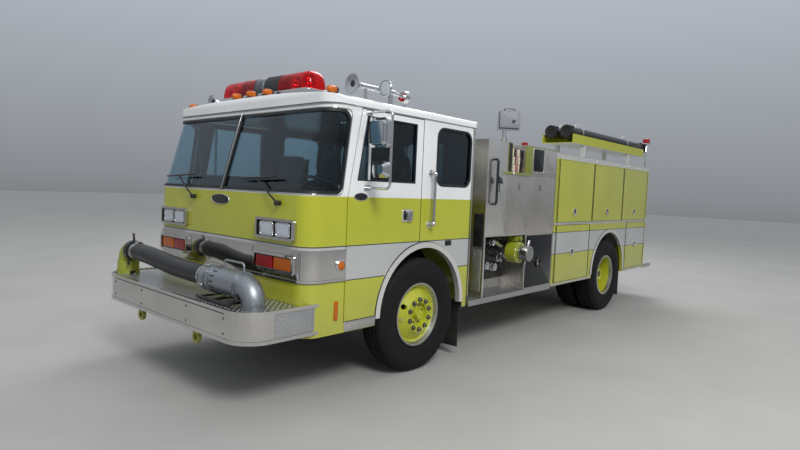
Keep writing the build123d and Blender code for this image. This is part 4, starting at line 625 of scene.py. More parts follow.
# Small shapes that many pieces share
def skin_plate(stations, heights, depth, radius=0.004, edge=0.0015, x=HALF):
    """A plate on the driver's side between two stations and two heights."""
    size = (stations[1] - stations[0], heights[1] - heights[0])
    middle = (x, at(sum(stations) / 2), sum(heights) / 2)
    return plate(rounded(*size, radius), middle, SIDE, depth, edge)


def skin_frame(stations, heights, width, depth, radius=0.02):
    """A half-round moulding carried round a rectangle on the driver's side."""
    size = (stations[1] - stations[0] - width, heights[1] - heights[0] - width)
    middle = (HALF, at(sum(stations) / 2), sum(heights) / 2)
    return frame_ring(rounded(*size, radius), middle, SIDE, half_round(width, depth))


def moulding(start, end, width, depth, outwards):
    """A half-round moulding along a straight run, standing out in the given direction."""
    start, end = np.asarray(start, float), np.asarray(end, float)
    path = start + np.linspace(0, 1, 3)[:, None] * (end - start)
    return swept(path, half_round(width, depth), outwards)


def skin_bead(stations, heights, width, depth, x=HALF):
    """A half-round moulding on the driver's side, from one station and height to the other."""
    ends = [(x, at(station), height) for station, height in zip(stations, heights)]
    return moulding(*ends, width, depth, ACROSS)


def dome(place, axis, radius=0.007, height=0.004, steps=12):
    """A low round rivet head: height * sin over radius * cos."""
    turn = np.linspace(0, np.pi / 2, 4)
    profile = np.stack([height * np.sin(turn), radius * np.cos(turn)], -1)
    return turned(profile[:-1].tolist() + [(height, 0.0004)], place, axis, steps)


def skin_rivets(stations, heights, spacing, radius, x):
    """Rivet heads on the driver's side, evenly spaced from one station and height to the other."""
    start, end = [np.array((x, at(station), height)) for station, height in zip(stations, heights)]
    count = max(2, int(round(np.linalg.norm(end - start) / spacing)) + 1)
    return copies(dome((0, 0, 0), ACROSS, radius, radius * 0.55), np.linspace(start, end, count))


def diamond_lugs(size, place, facing, pitch=0.032, keep=None):
    """Raised lugs of diamond plate: long outlines three quarters of the pitch, leaning 45 degrees left
    and right by turns on an even grid, each drawn in to 0.6 of its size at its top."""
    counts = [int(side / pitch) for side in size]
    grids = [(np.arange(count) - (count - 1) / 2) * pitch for count in counts]
    a, b = np.meshgrid(*grids, indexing="ij")
    lean = np.where((np.indices(a.shape).sum(0) % 2) == 0, 0.25, -0.25).ravel() * np.pi
    centre = np.stack([a.ravel(), b.ravel()], -1)
    if keep is not None:
        chosen = keep(centre[:, 0] + place[0], centre[:, 1] + place[1])
        lean, centre = lean[chosen], centre[chosen]
    turn = np.linspace(0, 2 * np.pi, 8, endpoint=False)
    lens = np.stack([0.38 * np.cos(turn), 0.11 * np.sin(turn)], -1) * pitch
    cos, sin = np.cos(lean)[:, None], np.sin(lean)[:, None]
    leant = np.stack([cos * lens[:, 0] - sin * lens[:, 1], sin * lens[:, 0] + cos * lens[:, 1]], -1)
    flat = np.concatenate([leant, leant * 0.6], 1) + centre[:, None]
    rise = np.repeat([0.0, 0.0018], 8)
    points = np.asarray(place, float) + flat[..., :1] * facing[0] + flat[..., 1:] * facing[1]
    points = points + rise[None, :, None] * facing[2]
    lug = [[k, (k + 1) % 8, 8 + (k + 1) % 8, 8 + k] for k in range(8)]
    lug += [list(range(8, 16)), list(range(7, -1, -1))]
    return points.reshape(-1, 3), [[v + 16 * n for v in face] for n in range(len(centre)) for face in lug]


def oval(width, height, steps=36):
    """An ellipse's outline."""
    turn = np.linspace(0, 2 * np.pi, steps, endpoint=False)
    return np.stack([np.cos(turn) * width / 2, np.sin(turn) * height / 2], -1)


def badge(width, height, place, facing, depth=0.006):
    """A blank oval field and the raised rim round it, as two shapes."""
    field = plate(oval(width, height), place, facing, depth * 0.6, depth * 0.2)
    return field, frame_ring(oval(width, height), place, facing, half_round(0.007, depth))


# Cab front: the post between the panes, blank badges, trims and the wipers' pivot caps
LEAN = 0.21 / 0.733                     # how far the windscreen leans back over its height
SCREEN_UP = np.array([0.0, LEAN, 1.0]) / math.hypot(LEAN, 1.0)
SCREEN = np.array([ACROSS, SCREEN_UP, np.cross(ACROSS, SCREEN_UP)])


def on_screen(x, z, proud=0.0):
    """A point on the leaning screen's plane, or standing that far out of it."""
    return np.array((x, CAB_FRONT + LEAN * (z - BELT), z)) + proud * SCREEN[2]


def round_cab(across, height, proud):
    """Points of the cab's front and corner skin at distances round it from the middle, standing proud
    of it, and the skin's outward directions there: a straight front, then a quarter turn."""
    radius = 0.15
    straight = HALF - radius
    turn = np.clip((across - straight) / radius, 0, np.pi / 2)
    out = np.stack([np.sin(turn), -np.cos(turn), LEAN * np.cos(turn)], -1)
    out = out / np.linalg.norm(out, axis=1, keepdims=True)
    x = np.minimum(across, straight) + radius * np.sin(turn)
    y = CAB_FRONT + LEAN * np.maximum(height - BELT, 0) + radius * (1 - np.cos(turn))
    y = y + np.maximum(across - straight - radius * np.pi / 2, 0)
    return np.stack([x, y, height], -1) + proud * out, out


post_length = (2.345 - 1.655) * math.hypot(LEAN, 1.0)
piece("screen_centre_post", RUBBER,
    plate(rounded(0.05, post_length, 0.006), on_screen(0, 2.0, 0.004), SCREEN, 0.007, 0.003))
piece("screen_post_bead", POLISHED,
    plate(rounded(0.012, post_length, 0.003), on_screen(0, 2.0, 0.0105), SCREEN, 0.003, 0.0015))
corners = smooth([(0.0, 1.658), (1.388, 1.658), (1.494, 1.658), (1.478, 1.758), (1.4, 2.24), (1.384, 2.342),
        (1.28, 2.342), (0.0, 2.342)])
steps = np.concatenate([[0.0], np.cumsum(np.linalg.norm(np.diff(corners, axis=0), axis=1))])
even = np.arange(0.0, steps[-1], 0.02)
run, rise = [np.interp(even, steps, corners[:, k]) for k in (0, 1)]
bead_path, bead_out = round_cab(run, rise, 0.0036)
piece("windscreen_bead", POLISHED, both(swept(bead_path, half_round(0.009, 0.003), bead_out)))
front_field, front_rim = badge(0.295, 0.088, (-0.0145, CAB_FRONT, 1.5725), FACE, 0.009)
piece("front_badge_blank", SATIN_BLACK, front_field)
piece("front_badge_rim", CHROME, front_rim)
door_field, door_rim = badge(0.15, 0.062, (HALF, at(-0.86), BELT), SIDE, 0.006)
pair("door_badge_blank", SATIN_BLACK, "cab_door", door_field)
pair("door_badge_rim", CHROME, "cab_door", door_rim)
WIPERS = ((0.871, 1.577), (-0.463, 1.58))
PIVOT_CAP = [(0, 0.022), (0.01, 0.022), (0.016, 0.016), (0.02, 0.0)]
pivot_caps = [turned(PIVOT_CAP, (x, CAB_FRONT - 0.034, z), AHEAD, 20) for x, z in WIPERS]
piece("wiper_pivot_caps", ABS, *pivot_caps)
band_seams = [plate(rounded(0.004, 0.215, 0.001), (x, CAB_FRONT - 0.0058, 1.0975), FACE, 0.002, 0.0005)
    for x in (1.135, 0.52)]
piece("band_seams", RUBBER, both(*band_seams))


def ribs(centre, start, end, shift, counted, width, depth, outwards=AHEAD):
    """Half-round ribs of a lens, each from start to end, moved by shift times an even count from -1 to 1."""
    places = [centre + np.array(shift) * share for share in np.linspace(-1, 1, counted)]
    return [moulding(place + start, place + end, width, depth, outwards) for place in places]


# Head and signal lamps in their bezels: sealed beams above, dark red and amber lenses below
UPPER_LAMP = (0.837, 1.370, 0.464, 0.126)       # x, z, width and height
LOWER_LAMP = (0.829, 1.099, 0.494, 0.114)
LENS_Y = CAB_FRONT - 0.008
BEAM_Y = LENS_Y - 0.0072
backs = [plate(rounded(width - 0.004, height - 0.004, 0.012), (x, LENS_Y + 0.001, z), FACE, 0.005, 0.001)
         for x, z, width, height in (UPPER_LAMP, LOWER_LAMP)]
beams, rings, lenses, dishes = [], [], [], []
for half in (-1, 1):
    centre = np.array((UPPER_LAMP[0] + half * 0.108, BEAM_Y, UPPER_LAMP[1]))
    dishes.append(plate(rounded(0.166, 0.104, 0.018), centre + (0, 0.0032, 0), FACE, 0.003, 0.001))
    beams.append(plate(rounded(0.168, 0.106, 0.020), centre, FACE, 0.009, 0.005))
    beams += ribs(centre, (0, -0.009, -0.040), (0, -0.009, 0.040), (0.066, 0, 0), 12, 0.010, 0.0022)
    rings.append(frame_ring(rounded(0.176, 0.114, 0.024), centre, FACE, half_round(0.012, 0.014)))
    centre = np.array((LOWER_LAMP[0] + half * 0.121, BEAM_Y, LOWER_LAMP[1]))
    lenses.append([plate(rounded(0.222, 0.098, 0.012), centre, FACE, 0.011, 0.005),
                   *ribs(centre, (-0.100, -0.011, 0), (0.100, -0.011, 0), (0, 0, 0.038), 9, 0.007, 0.0016)])
dishes.append(plate(rounded(0.218, 0.094, 0.010), centre + (0, 0.0032, 0), FACE, 0.003, 0.001))
for name, finish, shapes, hidden in (("lamp_housings", ABS, backs, ["lamps"]),
                                     ("lamp_reflectors", REFLECTOR, dishes, ["lamps"]),
                                     ("sealed_beams", BEAM_GLASS, beams, ["lamps"]),
                                     ("beam_retaining_rings", CHROME, rings, ()),
                                     ("signal_lenses_red", LENS_RED, lenses[0], ["lamps"]),
                                     ("signal_lenses_amber", LENS_AMBER, lenses[1], ["lamps"])):
    piece(name, finish, both(*shapes), replaces=hidden)

# Roof: marker lamps, the light bar's domes with their turning reflectors, spot lamp and horns
ROOF_EDGE, ROOF_RISE, ROOF_HALF = 2.452, 0.052, 1.194
BULLET = [(0, 0.031), (0.06, 0.031), (0.078, 0.026), (0.09, 0.016), (0.095, 0.002)]
MARKER_RIM = [(-0.006, 0.03), (-0.004, 0.0325), (0.012, 0.0335), (0.014, 0.031)]
marker_lenses, marker_feet = [], []
for x in (-1.097, -0.25, 0.0, 0.25, 1.097):
    y = at(-1.13) + abs(x) * 0.02
    z = ROOF_EDGE + ROOF_RISE * (1 - (x / ROOF_HALF) ** 2) - 0.006
    marker_lenses.append(turned(BULLET, (x, y + 0.045, z + 0.042), AHEAD, 28))
    marker_feet.append(turned(MARKER_RIM, (x, y + 0.045, z + 0.042), AHEAD, 28))
    marker_feet.append(box((x - 0.028, y - 0.041, z + 0.001), (x + 0.028, y + 0.048, z + 0.014), 0.004))
piece("roof_marker_lenses", LENS_AMBER, *marker_lenses, replaces=["lamps"])
piece("roof_marker_feet", ABS, *marker_feet, replaces=["lamps"])

BAR_Y, BAR_Z = at(-0.91), 2.562


def dome_lens(x0, x1, ends_round, wall=0.004, wide=0.127, tall=0.163, nose=0.1):
    """A light-bar dome: a rounded arch section carried along X, drawn in to nothing by sin ^ 0.7 over
    the nose of an end that is round, and the same again inside by the wall's thickness."""
    turn = np.linspace(0, np.pi, 33)
    bend = np.linspace(0, np.pi / 2, 19)
    shells = []
    for inset in (0.0, wall):
        rows, sizes = [], []
        for end, inwards, is_round in ((x0, 1, ends_round[0]), (x1, -1, ends_round[1])):
            first = end + inwards * inset
            rows.append(first + inwards * nose * (1 - np.cos(bend)) if is_round else np.array([first]))
            sizes.append(np.sin(bend) ** 0.7 if is_round else np.array([1.0]))
        x = np.concatenate([rows[0], rows[1][::-1]])[:, None]
        size = np.concatenate([sizes[0], sizes[1][::-1]])[:, None]
        across = -(wide - inset) * np.sign(np.cos(turn)) * np.abs(np.cos(turn)) ** 0.7
        rise = (tall - inset) * np.sin(turn) ** 0.8
        shells.append(np.stack([x + 0 * across, BAR_Y + across * size, BAR_Z + rise * size], -1))
    outer, inner = shells
    return grid(np.concatenate([outer, inner[:, ::-1]], axis=1), wrap_cols=True, cap=True)


def rotator(x):
    """A beacon's dish, turned about its own lamp, on a motor with a round foot."""
    dish = [(0.036, 0.06), (0.014, 0.052), (-0.008, 0.034), (-0.016, 0.013), (-0.016, 0.0)]
    back = [(-0.019, 0.0), (-0.019, 0.014), (-0.01, 0.036), (0.012, 0.054), (0.036, 0.062)]
    shell = turned(back + dish, (x, BAR_Y, BAR_Z + 0.078), (0.35, -0.93, 0), 28)
    return joined(shell, turned(disc(0.024, 0.036), (x, BAR_Y, BAR_Z), UP, 24),
        turned(disc(0.046, 0.008), (x, BAR_Y, BAR_Z + 0.022), UP, 12))


DOMES = (("red_right", DOME_RED, -0.7, -0.3), ("red_middle", DOME_RED, -0.296, -0.11),
    ("clear", LENS_CLEAR, -0.106, 0.06), ("dark", ABS, 0.064, 0.27), ("red_left", DOME_RED, 0.274, 0.7))
for label, finish, x0, x1 in DOMES:
    round_ends = (x0 < -0.6, x1 > 0.6)
    piece(f"light_bar_dome_{label}", finish, dome_lens(x0, x1, round_ends), slot="lens",
        replaces=["lightbar"])
piece("light_bar_reflectors", CHROME, *[rotator(x) for x in (-0.59, -0.42, -0.2, -0.03, 0.4, 0.59)],
    replaces=["lightbar"])
base = plate(rounded(1.4, 0.268, 0.06, 8), (0, BAR_Y, 2.52), TOP, 0.042, 0.008)
feet = [box((side * 0.5 - 0.04, BAR_Y - 0.06, 2.492), (side * 0.5 + 0.04, BAR_Y + 0.06, 2.521), 0.006)
    for side in (-1, 1)]
turn = np.linspace(0, np.pi, 25)
hoop = np.stack([0.1285 * np.sign(np.cos(turn)) * np.abs(np.cos(turn)) ** 0.7,
        0.1645 * np.sin(turn) ** 0.8], -1)
dividers = [plate(hoop, (x, BAR_Y, BAR_Z), SIDE, 0.006, 0.001) for x in (-0.301, -0.111, 0.059, 0.269)]
piece("light_bar_base", POLISHED, base, *feet, replaces=["lightbar"])
piece("light_bar_dividers", ABS, *dividers, replaces=["lightbar"])

SPOT = (1.165, at(-0.56), 2.585)
piece("spot_lamp_lens", BEAM_GLASS,
    turned([(0, 0.062), (0.006, 0.06), (0.011, 0.04), (0.013, 0.0005)], SPOT, AHEAD, 32))
SPOT_RIM = [(-0.004, 0.072), (0.004, 0.0735), (0.009, 0.07), (0.009, 0.062), (0.0, 0.061)]
piece("spot_lamp_rim", CHROME, turned(SPOT_RIM, SPOT, AHEAD, 36))
THROAT = [(0, 0.05), (0.003, 0.047), (0.004, 0.028), (0.004, 0.0005)]
DRUM = [(0, 0.046), (0.006, 0.054), (0.052, 0.054), (0.06, 0.046), (0.066, 0.02)]
throats, drums = [], []
for x in (-1.105, 1.105):
    throats.append(turned(THROAT, (x, at(-0.887), 2.575), AHEAD, 32))
    drums.append(turned(DRUM, (x, at(-0.277), 2.56), BEHIND, 36))
    drums.append(bar((x, at(-0.384), 2.573), (x, at(-0.272), 2.562), 0.016, 16))
    drums.append(bar((x, at(-0.246), 2.44), (x, at(-0.246), 2.52), 0.014, 16))
piece("horn_throats", ABS, *throats)
piece("horn_drums", CHROME, *drums)

# Bumper: diamond plate on its sides and on the deck, bolts, and a painted shadow line under the top rail
piece("bumper_side_plates", TREAD,
    both(plate(rounded(0.395, 0.18, 0.004), (1.21, at(-1.472), 0.689), SIDE, 0.003, 0.001)))
piece("bumper_side_lugs", CHROME,
    both(diamond_lugs((0.392, 0.178), (1.213, at(-1.472), 0.689), SIDE, 0.0225)), slot="tread_plate")
rail_shadow = [(x, FRONT + 0.0095, 0.777) for x in (-0.955, 0.955)]
# A satin black moulding under the top rail: painted shadow
piece("bumper_rail_painted_shadow", SATIN_BLACK, moulding(*rail_shadow, 0.012, 0.004, AHEAD))
bolt_places = [(x, FRONT + 0.01, z) for x, z in ((0.4, 0.623), (0.95, 0.741), (0.95, 0.629), (0.4, 0.741))]
piece("bumper_bolts", ZINC, both(*[dome(p, AHEAD, 0.01, 0.006, 16) for p in bolt_places]))


def on_deck(x, y):
    """True where a lug lies inside the bumper's rounded front corners."""
    over = np.maximum(np.abs(x) - 0.975, 0.0)
    ahead = np.maximum(at(-1.73) - y, 0.0)
    return np.hypot(over, ahead) < 0.205


deck_size = (2.36, CAB_FRONT - FRONT - 0.045)
piece("deck_lugs", TREAD,
    diamond_lugs(deck_size, (0, (FRONT + CAB_FRONT) / 2 + 0.008, DECK), TOP, 0.027, on_deck))

# Front suction: base bolts, band clamps, coupling lugs and the strainer's slots
SUCTION = (-1.065, at(-1.775))
STRAINER = (at(-1.733), 0.95)
BASE_BOLT = [(0, 0.013), (0.009, 0.013), (0.011, 0.011), (0.011, 0.0)]
bolt_circle = [(SUCTION[0] + 0.1 * math.cos(t), SUCTION[1] + 0.1 * math.sin(t), DECK)
    for t in np.arange(8) * np.pi / 4 + 0.2]
piece("swivel_base_bolts", CHROME, *[turned(BASE_BOLT, place, UP, 6) for place in bolt_circle])


def clamp(x, y, z, radius, width=0.022):
    """A band clamp round a hose lying along X, with its screw housing on top."""
    band = [(0, radius), (0, radius + 0.003), (width, radius + 0.003), (width, radius)]
    block = box((x + 0.001, y - 0.022, z + radius + 0.001),
        (x + width - 0.001, y + 0.022, z + radius + 0.013), 0.003)
    return joined(turned(band, (x, y, z), steps=48), block)


HOSE_RADIUS = 0.0835
piece("hose_band_clamps", POLISHED, clamp(-0.885, SUCTION[1] + 0.001, 1.0288, HOSE_RADIUS),
    clamp(-0.85, SUCTION[1] + 0.0012, 1.028, HOSE_RADIUS),
    clamp(0.33, STRAINER[0] - 0.003, 0.953, HOSE_RADIUS),
    clamp(0.362, STRAINER[0] - 0.002, 0.952, HOSE_RADIUS))


def lugs_round(x, y, z, radius, count, length, reach=0.022, width=0.02):
    """Rocker lugs standing out of a coupling ring that lies along X."""
    made = []
    for t in 2 * np.pi * np.arange(count) / count + 0.4:
        out, onwards = radial(t)
        place = (x + length / 2, y, z) + out * (radius - 0.004)
        facing = np.array([-onwards, ACROSS, out])
        made.append(plate(rounded(width, length, 0.006), place, facing, reach, 0.005))
    return joined(*made)


piece("coupling_lugs", CAST, lugs_round(0.395, *STRAINER, 0.106, 4, 0.07),
    lugs_round(0.501, *STRAINER, 0.112, 3, 0.034, 0.016))
swivel = np.array((*SUCTION, 0.0))
piece("swivel_levers", SATIN_BLACK,
    bar(swivel + (0.128, 0.0, 1.12), swivel + (0.118, -0.004, 1.196), 0.0105),
    bar(swivel + (0.14, -0.055, 0.955), swivel + (0.15, -0.066, 0.9), 0.0105))
slots = []
for t in 2 * np.pi * np.arange(14) / 14:
    out, onwards = radial(t)
    facing = np.array([ACROSS, onwards, out])
    slots.append(plate(rounded(0.06, 0.013, 0.006), (0.582, *STRAINER) + out * 0.0985, facing, 0.0022,
            0.0006))
piece("strainer_slots", SATIN_BLACK, *slots)

# Cab sides: door details, marker lamps, reflectors, vents, sills and arch welting
# Painted shade: a satin black plate where the handle's recess lies in shade, and a black box over the grip
# bar's left end as painted shadow, dark like the slot
pair("door_handle_recess_painted_shadow", SATIN_BLACK, "cab_door",
    skin_plate((-0.332, -0.296), (1.448, 1.536), 0.0012, 0.006, x=1.2298),
    box((1.2301, at(-0.3235), 1.4765), (1.2466, at(-0.291), 1.5095), 0.003))
pair("door_handle_paddle", POLISHED, "cab_door",
    box((1.2301, at(-0.292), 1.448), (1.2472, at(-0.22), 1.536), 0.006))
pair("door_lock", CHROME, "cab_door", turned(disc(0.004, 0.008), (1.247, at(-0.234), 1.47), steps=20))
ball = [(0.0, 0.0005), (0.004, 0.014), (0.012, 0.0215), (0.024, 0.026), (0.036, 0.0215), (0.044, 0.014),
    (0.048, 0.0005)]
rail_ends = [turned(ball, (1.256, at(0.038), z), steps=24) for z in (1.415, 1.88)]
rail_ends += [turned(disc(0.01, 0.031), (HALF, at(0.038), z), steps=28) for z in (1.405, 1.89)]
piece("cab_rail_brackets", CHROME, both(*rail_ends))
window = np.array([(-0.182, 1.788), (-0.182, 2.312), (-0.81, 2.312), (-0.902, 1.788)]) + (FRONT_AXLE, 0)
pair("door_window_seal", RUBBER, "cab_door",
    frame_ring(window, (HALF, 0, 0), SIDE, half_round(0.018, 0.004)))
pair("door_window_divider", WHITE_ENAMEL, "cab_door",
    box((1.213, at(-0.786), 1.79), (1.2255, at(-0.764), 2.311), 0.003))
window_bead = half_round(0.026, 0.006)
piece("rear_window_seals", RUBBER,
    both(frame_ring(rounded(0.548, 0.54, 0.09, 8), (HALF, at(0.405), 2.049), SIDE, window_bead)))
back_seals = [frame_ring(rounded(0.56, 0.43, 0.06, 8), (x, at(0.751), 2.03), REAR, window_bead)
    for x in (-0.56, 0.56)]
piece("back_window_seals", RUBBER, *back_seals)
side_marker = (1.2255, at(-1.065), 1.095)
bezel = [(0, 0.05), (0.008, 0.05), (0.014, 0.044), (0.014, 0.038), (0.0, 0.038)]
piece("side_marker_bezels", CHROME, both(turned(bezel, side_marker, steps=36)))
piece("side_marker_lenses", LENS_AMBER,
    both(turned([(0, 0.038), (0.012, 0.036), (0.02, 0.024), (0.023, 0.0005)], side_marker, steps=32)))
piece("side_reflectors", LENS_AMBER, both(skin_plate((-1.116, -1.076), (0.65, 0.81), 0.01, 0.018, 0.004)))
vent = [skin_plate((0.31, 0.41), (1.19, 1.242), 0.004, 0.008)]
vent += [skin_bead((0.32, 0.4), (z, z), 0.008, 0.005, x=1.2235) for z in (1.203, 1.216, 1.229)]
piece("cab_vents", ABS, both(*vent))
piece("door_sills", POLISHED, both(skin_plate((-1.0, -0.64), (0.545, 0.625), 0.005)))


def arch_bead(name, axle, radius):
    """The rubber bead round an axle's wheel arches."""
    arch = np.linspace(0, np.pi, 49)
    path = np.stack([np.full(49, HALF), axle + radius * np.cos(arch), ARCH_Z + radius * np.sin(arch)], -1)
    piece(name, RUBBER, both(swept(path, half_round(0.008, 0.005), ACROSS)))


arch_bead("arch_welting", FRONT_AXLE, 0.6405)
piece("cab_rear_angles", POLISHED, both(box((1.15, at(0.7515), 0.64), (1.207, at(0.765), 2.36), 0.003)))
mirror_faces = [plate(rounded(x1 - x0 - 0.016, z1 - z0 - 0.016, 0.026),
    ((x0 + x1) / 2, at(-0.82), (z0 + z1) / 2), REAR, 0.002, 0.0006)
    for x0, x1, z0, z1 in ((1.297, 1.5, 2.05, 2.286), (1.327, 1.5, 1.811, 1.94))]
pair("mirror_faces", MIRROR, "cab_door", *mirror_faces)

# Pump module: riveted skins, the recess lining, dark panels, the gauge, valves and the intake
RECESS_BACK = 0.9                       # how far out the back wall of the recess stands
skins = [skin_plate(ends, (1.262, 1.942), 0.0025) for ends in ((1.404, 1.892), (1.904, 2.566))]
MODULE_FACE = 1.2222                    # the skins' outer face
edges = [skin_rivets((s, s), (1.3, top), 0.12, 0.005, MODULE_FACE)
    for s, top in ((1.022, 2.27), (1.38, 2.27), (1.422, 1.92), (1.878, 1.92), (1.918, 1.92), (2.552, 1.92))]
edges += [skin_rivets((a, b), (z, z), 0.11, 0.005, MODULE_FACE)
    for a, b, z in ((1.06, 1.34, 1.276), (1.46, 1.84, 1.276), (1.96, 2.51, 1.276), (1.06, 1.34, 2.284))]
piece("module_skins", BRUSHED, both(*skins))
piece("module_rivets", CHROME, both(*edges))
bay_rail = box((1.22, at(1.34), 1.946), (1.25, at(1.93), 1.97), 0.003)
# Painted shade: the module's lime panels wear the lime enamel darkened to olive
piece("module_lime_panels", SHADED_LIME,
    both(skin_plate((1.794, 1.958), (1.976, 2.298), 0.004, 0.006), bay_rail,
        skin_plate((1.403, 1.411), (1.976, 2.296), 0.006, 0.002),
        skin_plate((1.48, 1.49), (1.976, 2.296), 0.006, 0.002),
        skin_bead((1.905, 2.57), (2.292, 2.292), 0.014, 0.008, x=1.214)))
piece("module_dark_posts", SATIN_BLACK, both(skin_plate((1.411, 1.48), (1.976, 2.294), 0.0035)))
piece("bay_rail_knobs", WHITE_ENAMEL, both(dome((1.25, at(1.485), 1.958), ACROSS, 0.014, 0.016, 16)))
piece("module_upper_panels", DARK_PANEL, both(skin_plate((1.977, 2.232), (2.004, 2.27), 0.003)))
piece("module_upper_frames", LIGHT_PANEL,
    both(skin_frame((1.966, 2.244), (1.993, 2.281), 0.012, 0.007),
        skin_plate((2.25, 2.566), (1.998, 2.282), 0.0025),
        skin_plate((1.003, 1.398), (1.262, 2.296), 0.0025)))
piece("module_labels_blank", GALVANISED,
    both(skin_plate((1.65, 1.694), (1.772, 1.852), 0.001, 0.006, x=1.2225),
        skin_plate((2.14, 2.196), (1.775, 1.848), 0.001, 0.006, x=1.2225)))
piece("module_front_gaskets", RUBBER,
    both(plate(rounded(0.126, 0.36, 0.01), (1.143, at(0.999), 1.32), FACE, 0.006)))
front_panel = [plate(rounded(0.11, 0.45, 0.004), (1.14, at(0.999), 0.88), FACE, 0.004)]
front_panel += [dome((1.11, at(0.995), z), AHEAD, 0.009, 0.005) for z in (1.055, 1.011)]
piece("module_front_panels", MILL, both(*front_panel))
strap_top = (1.284, at(1.15), 1.9)
piece("hanging_cap", RUBBER,
    turned([(0, 0.01), (0.012, 0.024), (0.06, 0.036), (0.068, 0.034)], strap_top, (0, 0, -1), 20),
    box((1.282, at(1.143), 1.74), (1.286, at(1.157), 1.835), 0.001),
    bar((1.284, at(1.112), 1.93), (1.284, at(1.15), 1.896), 0.004, 8))
piece("pump_side_panels", DARK_PANEL, both(skin_plate((1.892, 2.566), (0.596, 1.243), 0.004)))
piece("pump_panel_frames", BRUSHED, both(skin_frame((1.888, 2.57), (0.592, 1.247), 0.012, 0.006)))
recess_frame = [skin_bead((1.016, 1.016), (0.592, 1.254), 0.014, 0.006),
    skin_bead((1.016, 1.886), (1.254, 1.254), 0.014, 0.006)]
piece("recess_edges", CHROME, both(*recess_frame))
piece("recess_backs", SATIN_BLACK, both(skin_plate((1.028, 1.88), (0.7, 1.236), 0.003, x=RECESS_BACK)))
piece("recess_kick_plates", MILL, both(skin_plate((1.028, 1.88), (0.59, 0.692), 0.006, x=RECESS_BACK)))
GAUGE = np.array((1.2235, at(2.209), 0.898))
ring = [(0, 0.062), (0.016, 0.062), (0.022, 0.056), (0.022, 0.048), (0.0, 0.048)]
piece("gauge_rings", SATIN_BLACK, both(turned(ring, GAUGE, steps=40)))
piece("gauge_faces", POLISHED, both(turned(disc(0.01, 0.048), GAUGE, steps=40)))
needle = bar(GAUGE + (0.013, 0.01, -0.014), GAUGE + (0.013, -0.024, 0.026), 0.0022, 6)
piece("gauge_needles", SATIN_BLACK,
    both(needle, turned(disc(0.005, 0.007), GAUGE + (0.01, 0, 0), steps=16)))


def cap_detail(station, z, reach, head):
    """A hose cap's knurled ring and its two rocker lugs, at the end of an outlet."""
    end = RECESS_BACK + reach
    ring = [(0, head), (0.004, head + 0.004), (0.018, head + 0.004), (0.022, head)]
    parts = [turned(ring, (end - 0.052, at(station), z), steps=36)]
    boss = [(0, head * 0.55), (0.006, head * 0.5), (0.009, head * 0.2)]
    parts.append(turned(boss, (end, at(station), z), steps=24))
    parts.append(lugs_round(end - 0.044, at(station), z, head + 0.002, 2, 0.03, 0.016, 0.014))
    return joined(*parts)


# Each outlet's station, height, reach and cap radius
CAPS = ((1.386, 1.16, 0.2, 0.034), (1.277, 0.905, 0.2, 0.044), (1.44, 0.878, 0.2, 0.044),
    (1.64, 0.958, 0.15, 0.042))
piece("outlet_caps", CHROME, both(*[cap_detail(*cap) for cap in CAPS]))
INTAKE = (at(1.745), 1.044)
bolt_circle = [(1.234, INTAKE[0] + 0.106 * math.cos(t), INTAKE[1] + 0.106 * math.sin(t))
    for t in np.arange(10) * np.pi / 5 + 0.3]
piece("intake_bolts", CHROME, both(*[turned(disc(0.01, 0.009), place, steps=6) for place in bolt_circle]))


def spoke(turn, start, end, x=1.318, width=0.022):
    """A cap's handle: a flat bar standing outwards from its rim."""
    out, onwards = radial(turn)
    facing = np.array([ACROSS, onwards, out])
    return plate(rounded(0.026, width, 0.006), (x, *INTAKE) + out * start, facing, end - start, 0.006)


piece("intake_cap_handles", CAST, spoke(math.radians(66), 0.086, 0.16),
    spoke(math.radians(257), 0.086, 0.208),
    turned([(0, 0.078), (0.004, 0.076), (0.006, 0.03), (0.006, 0.001)], (1.366, *INTAKE), steps=36))
# Painted shade: the relief valves wear the lime enamel darkened to olive
piece("relief_valves", SHADED_LIME,
    both(box((1.09, at(1.705), 1.176), (1.204, at(1.85), 1.236), 0.008),
        turned(disc(0.03, 0.03), (1.2, at(1.775), 1.206), steps=24)))
valve_rods, valve_grips = [], []
for station, z, radius in ((1.386, 1.045, 0.016), (1.2, 1.085, 0.013), (1.54, 1.205, 0.012)):
    valve_rods.append(turned(disc(0.21, radius * 0.5), (0.902, at(station), z), steps=14))
    grip = [(0, radius * 0.7), (0.006, radius), (0.03, radius * 1.15), (0.042, radius * 0.8), (0.046, 0.001)]
    valve_grips.append(turned(grip, (1.11, at(station), z), steps=20))
piece("valve_rods", CHROME, both(*valve_rods))
piece("valve_grips", ABS, both(*valve_grips))

# Folded hose in the crosslay bay: flat jackets standing on edge, layer by layer
BAY = (1.512, 1.773)                    # stations of the load's front and rear
LAYERS, LAYER_HEIGHT, BAY_FLOOR = 3, 0.089, 1.976
hoses = {"pale": [], "red": [], "dark": []}
HOSE_ORDER = ("pale", "pale", "red", "pale", "dark", "pale", "red", "pale", "dark")
fold_pitch = (BAY[1] - BAY[0]) / len(HOSE_ORDER)
radius = fold_pitch / 2 - 0.0052
turn = np.linspace(-np.pi / 2, np.pi / 2, 9)
jacket = rounded(0.086, 0.0094, 0.0045, 3)
for row in range(LAYERS):
    for column, tone in enumerate(HOSE_ORDER):
        sway = math.sin(3.1 * row + 2.3 * column)
        y = at(BAY[0]) + (column + 0.5) * fold_pitch
        z = BAY_FLOOR + (row + 0.5) * LAYER_HEIGHT + 0.0015 * sway
        reach = 1.176 - 0.016 * (1 + math.sin(5.3 * row + 1.7 * column))
        bend = reach - radius + radius * np.cos(turn)
        end = np.stack([bend, y + radius * np.sin(turn), np.full(9, z)], -1)
        loop = np.concatenate([end, end[::-1] * (-1, 1, 1)])
        hoses[tone].append(swept(loop, jacket, UP, closed=True))
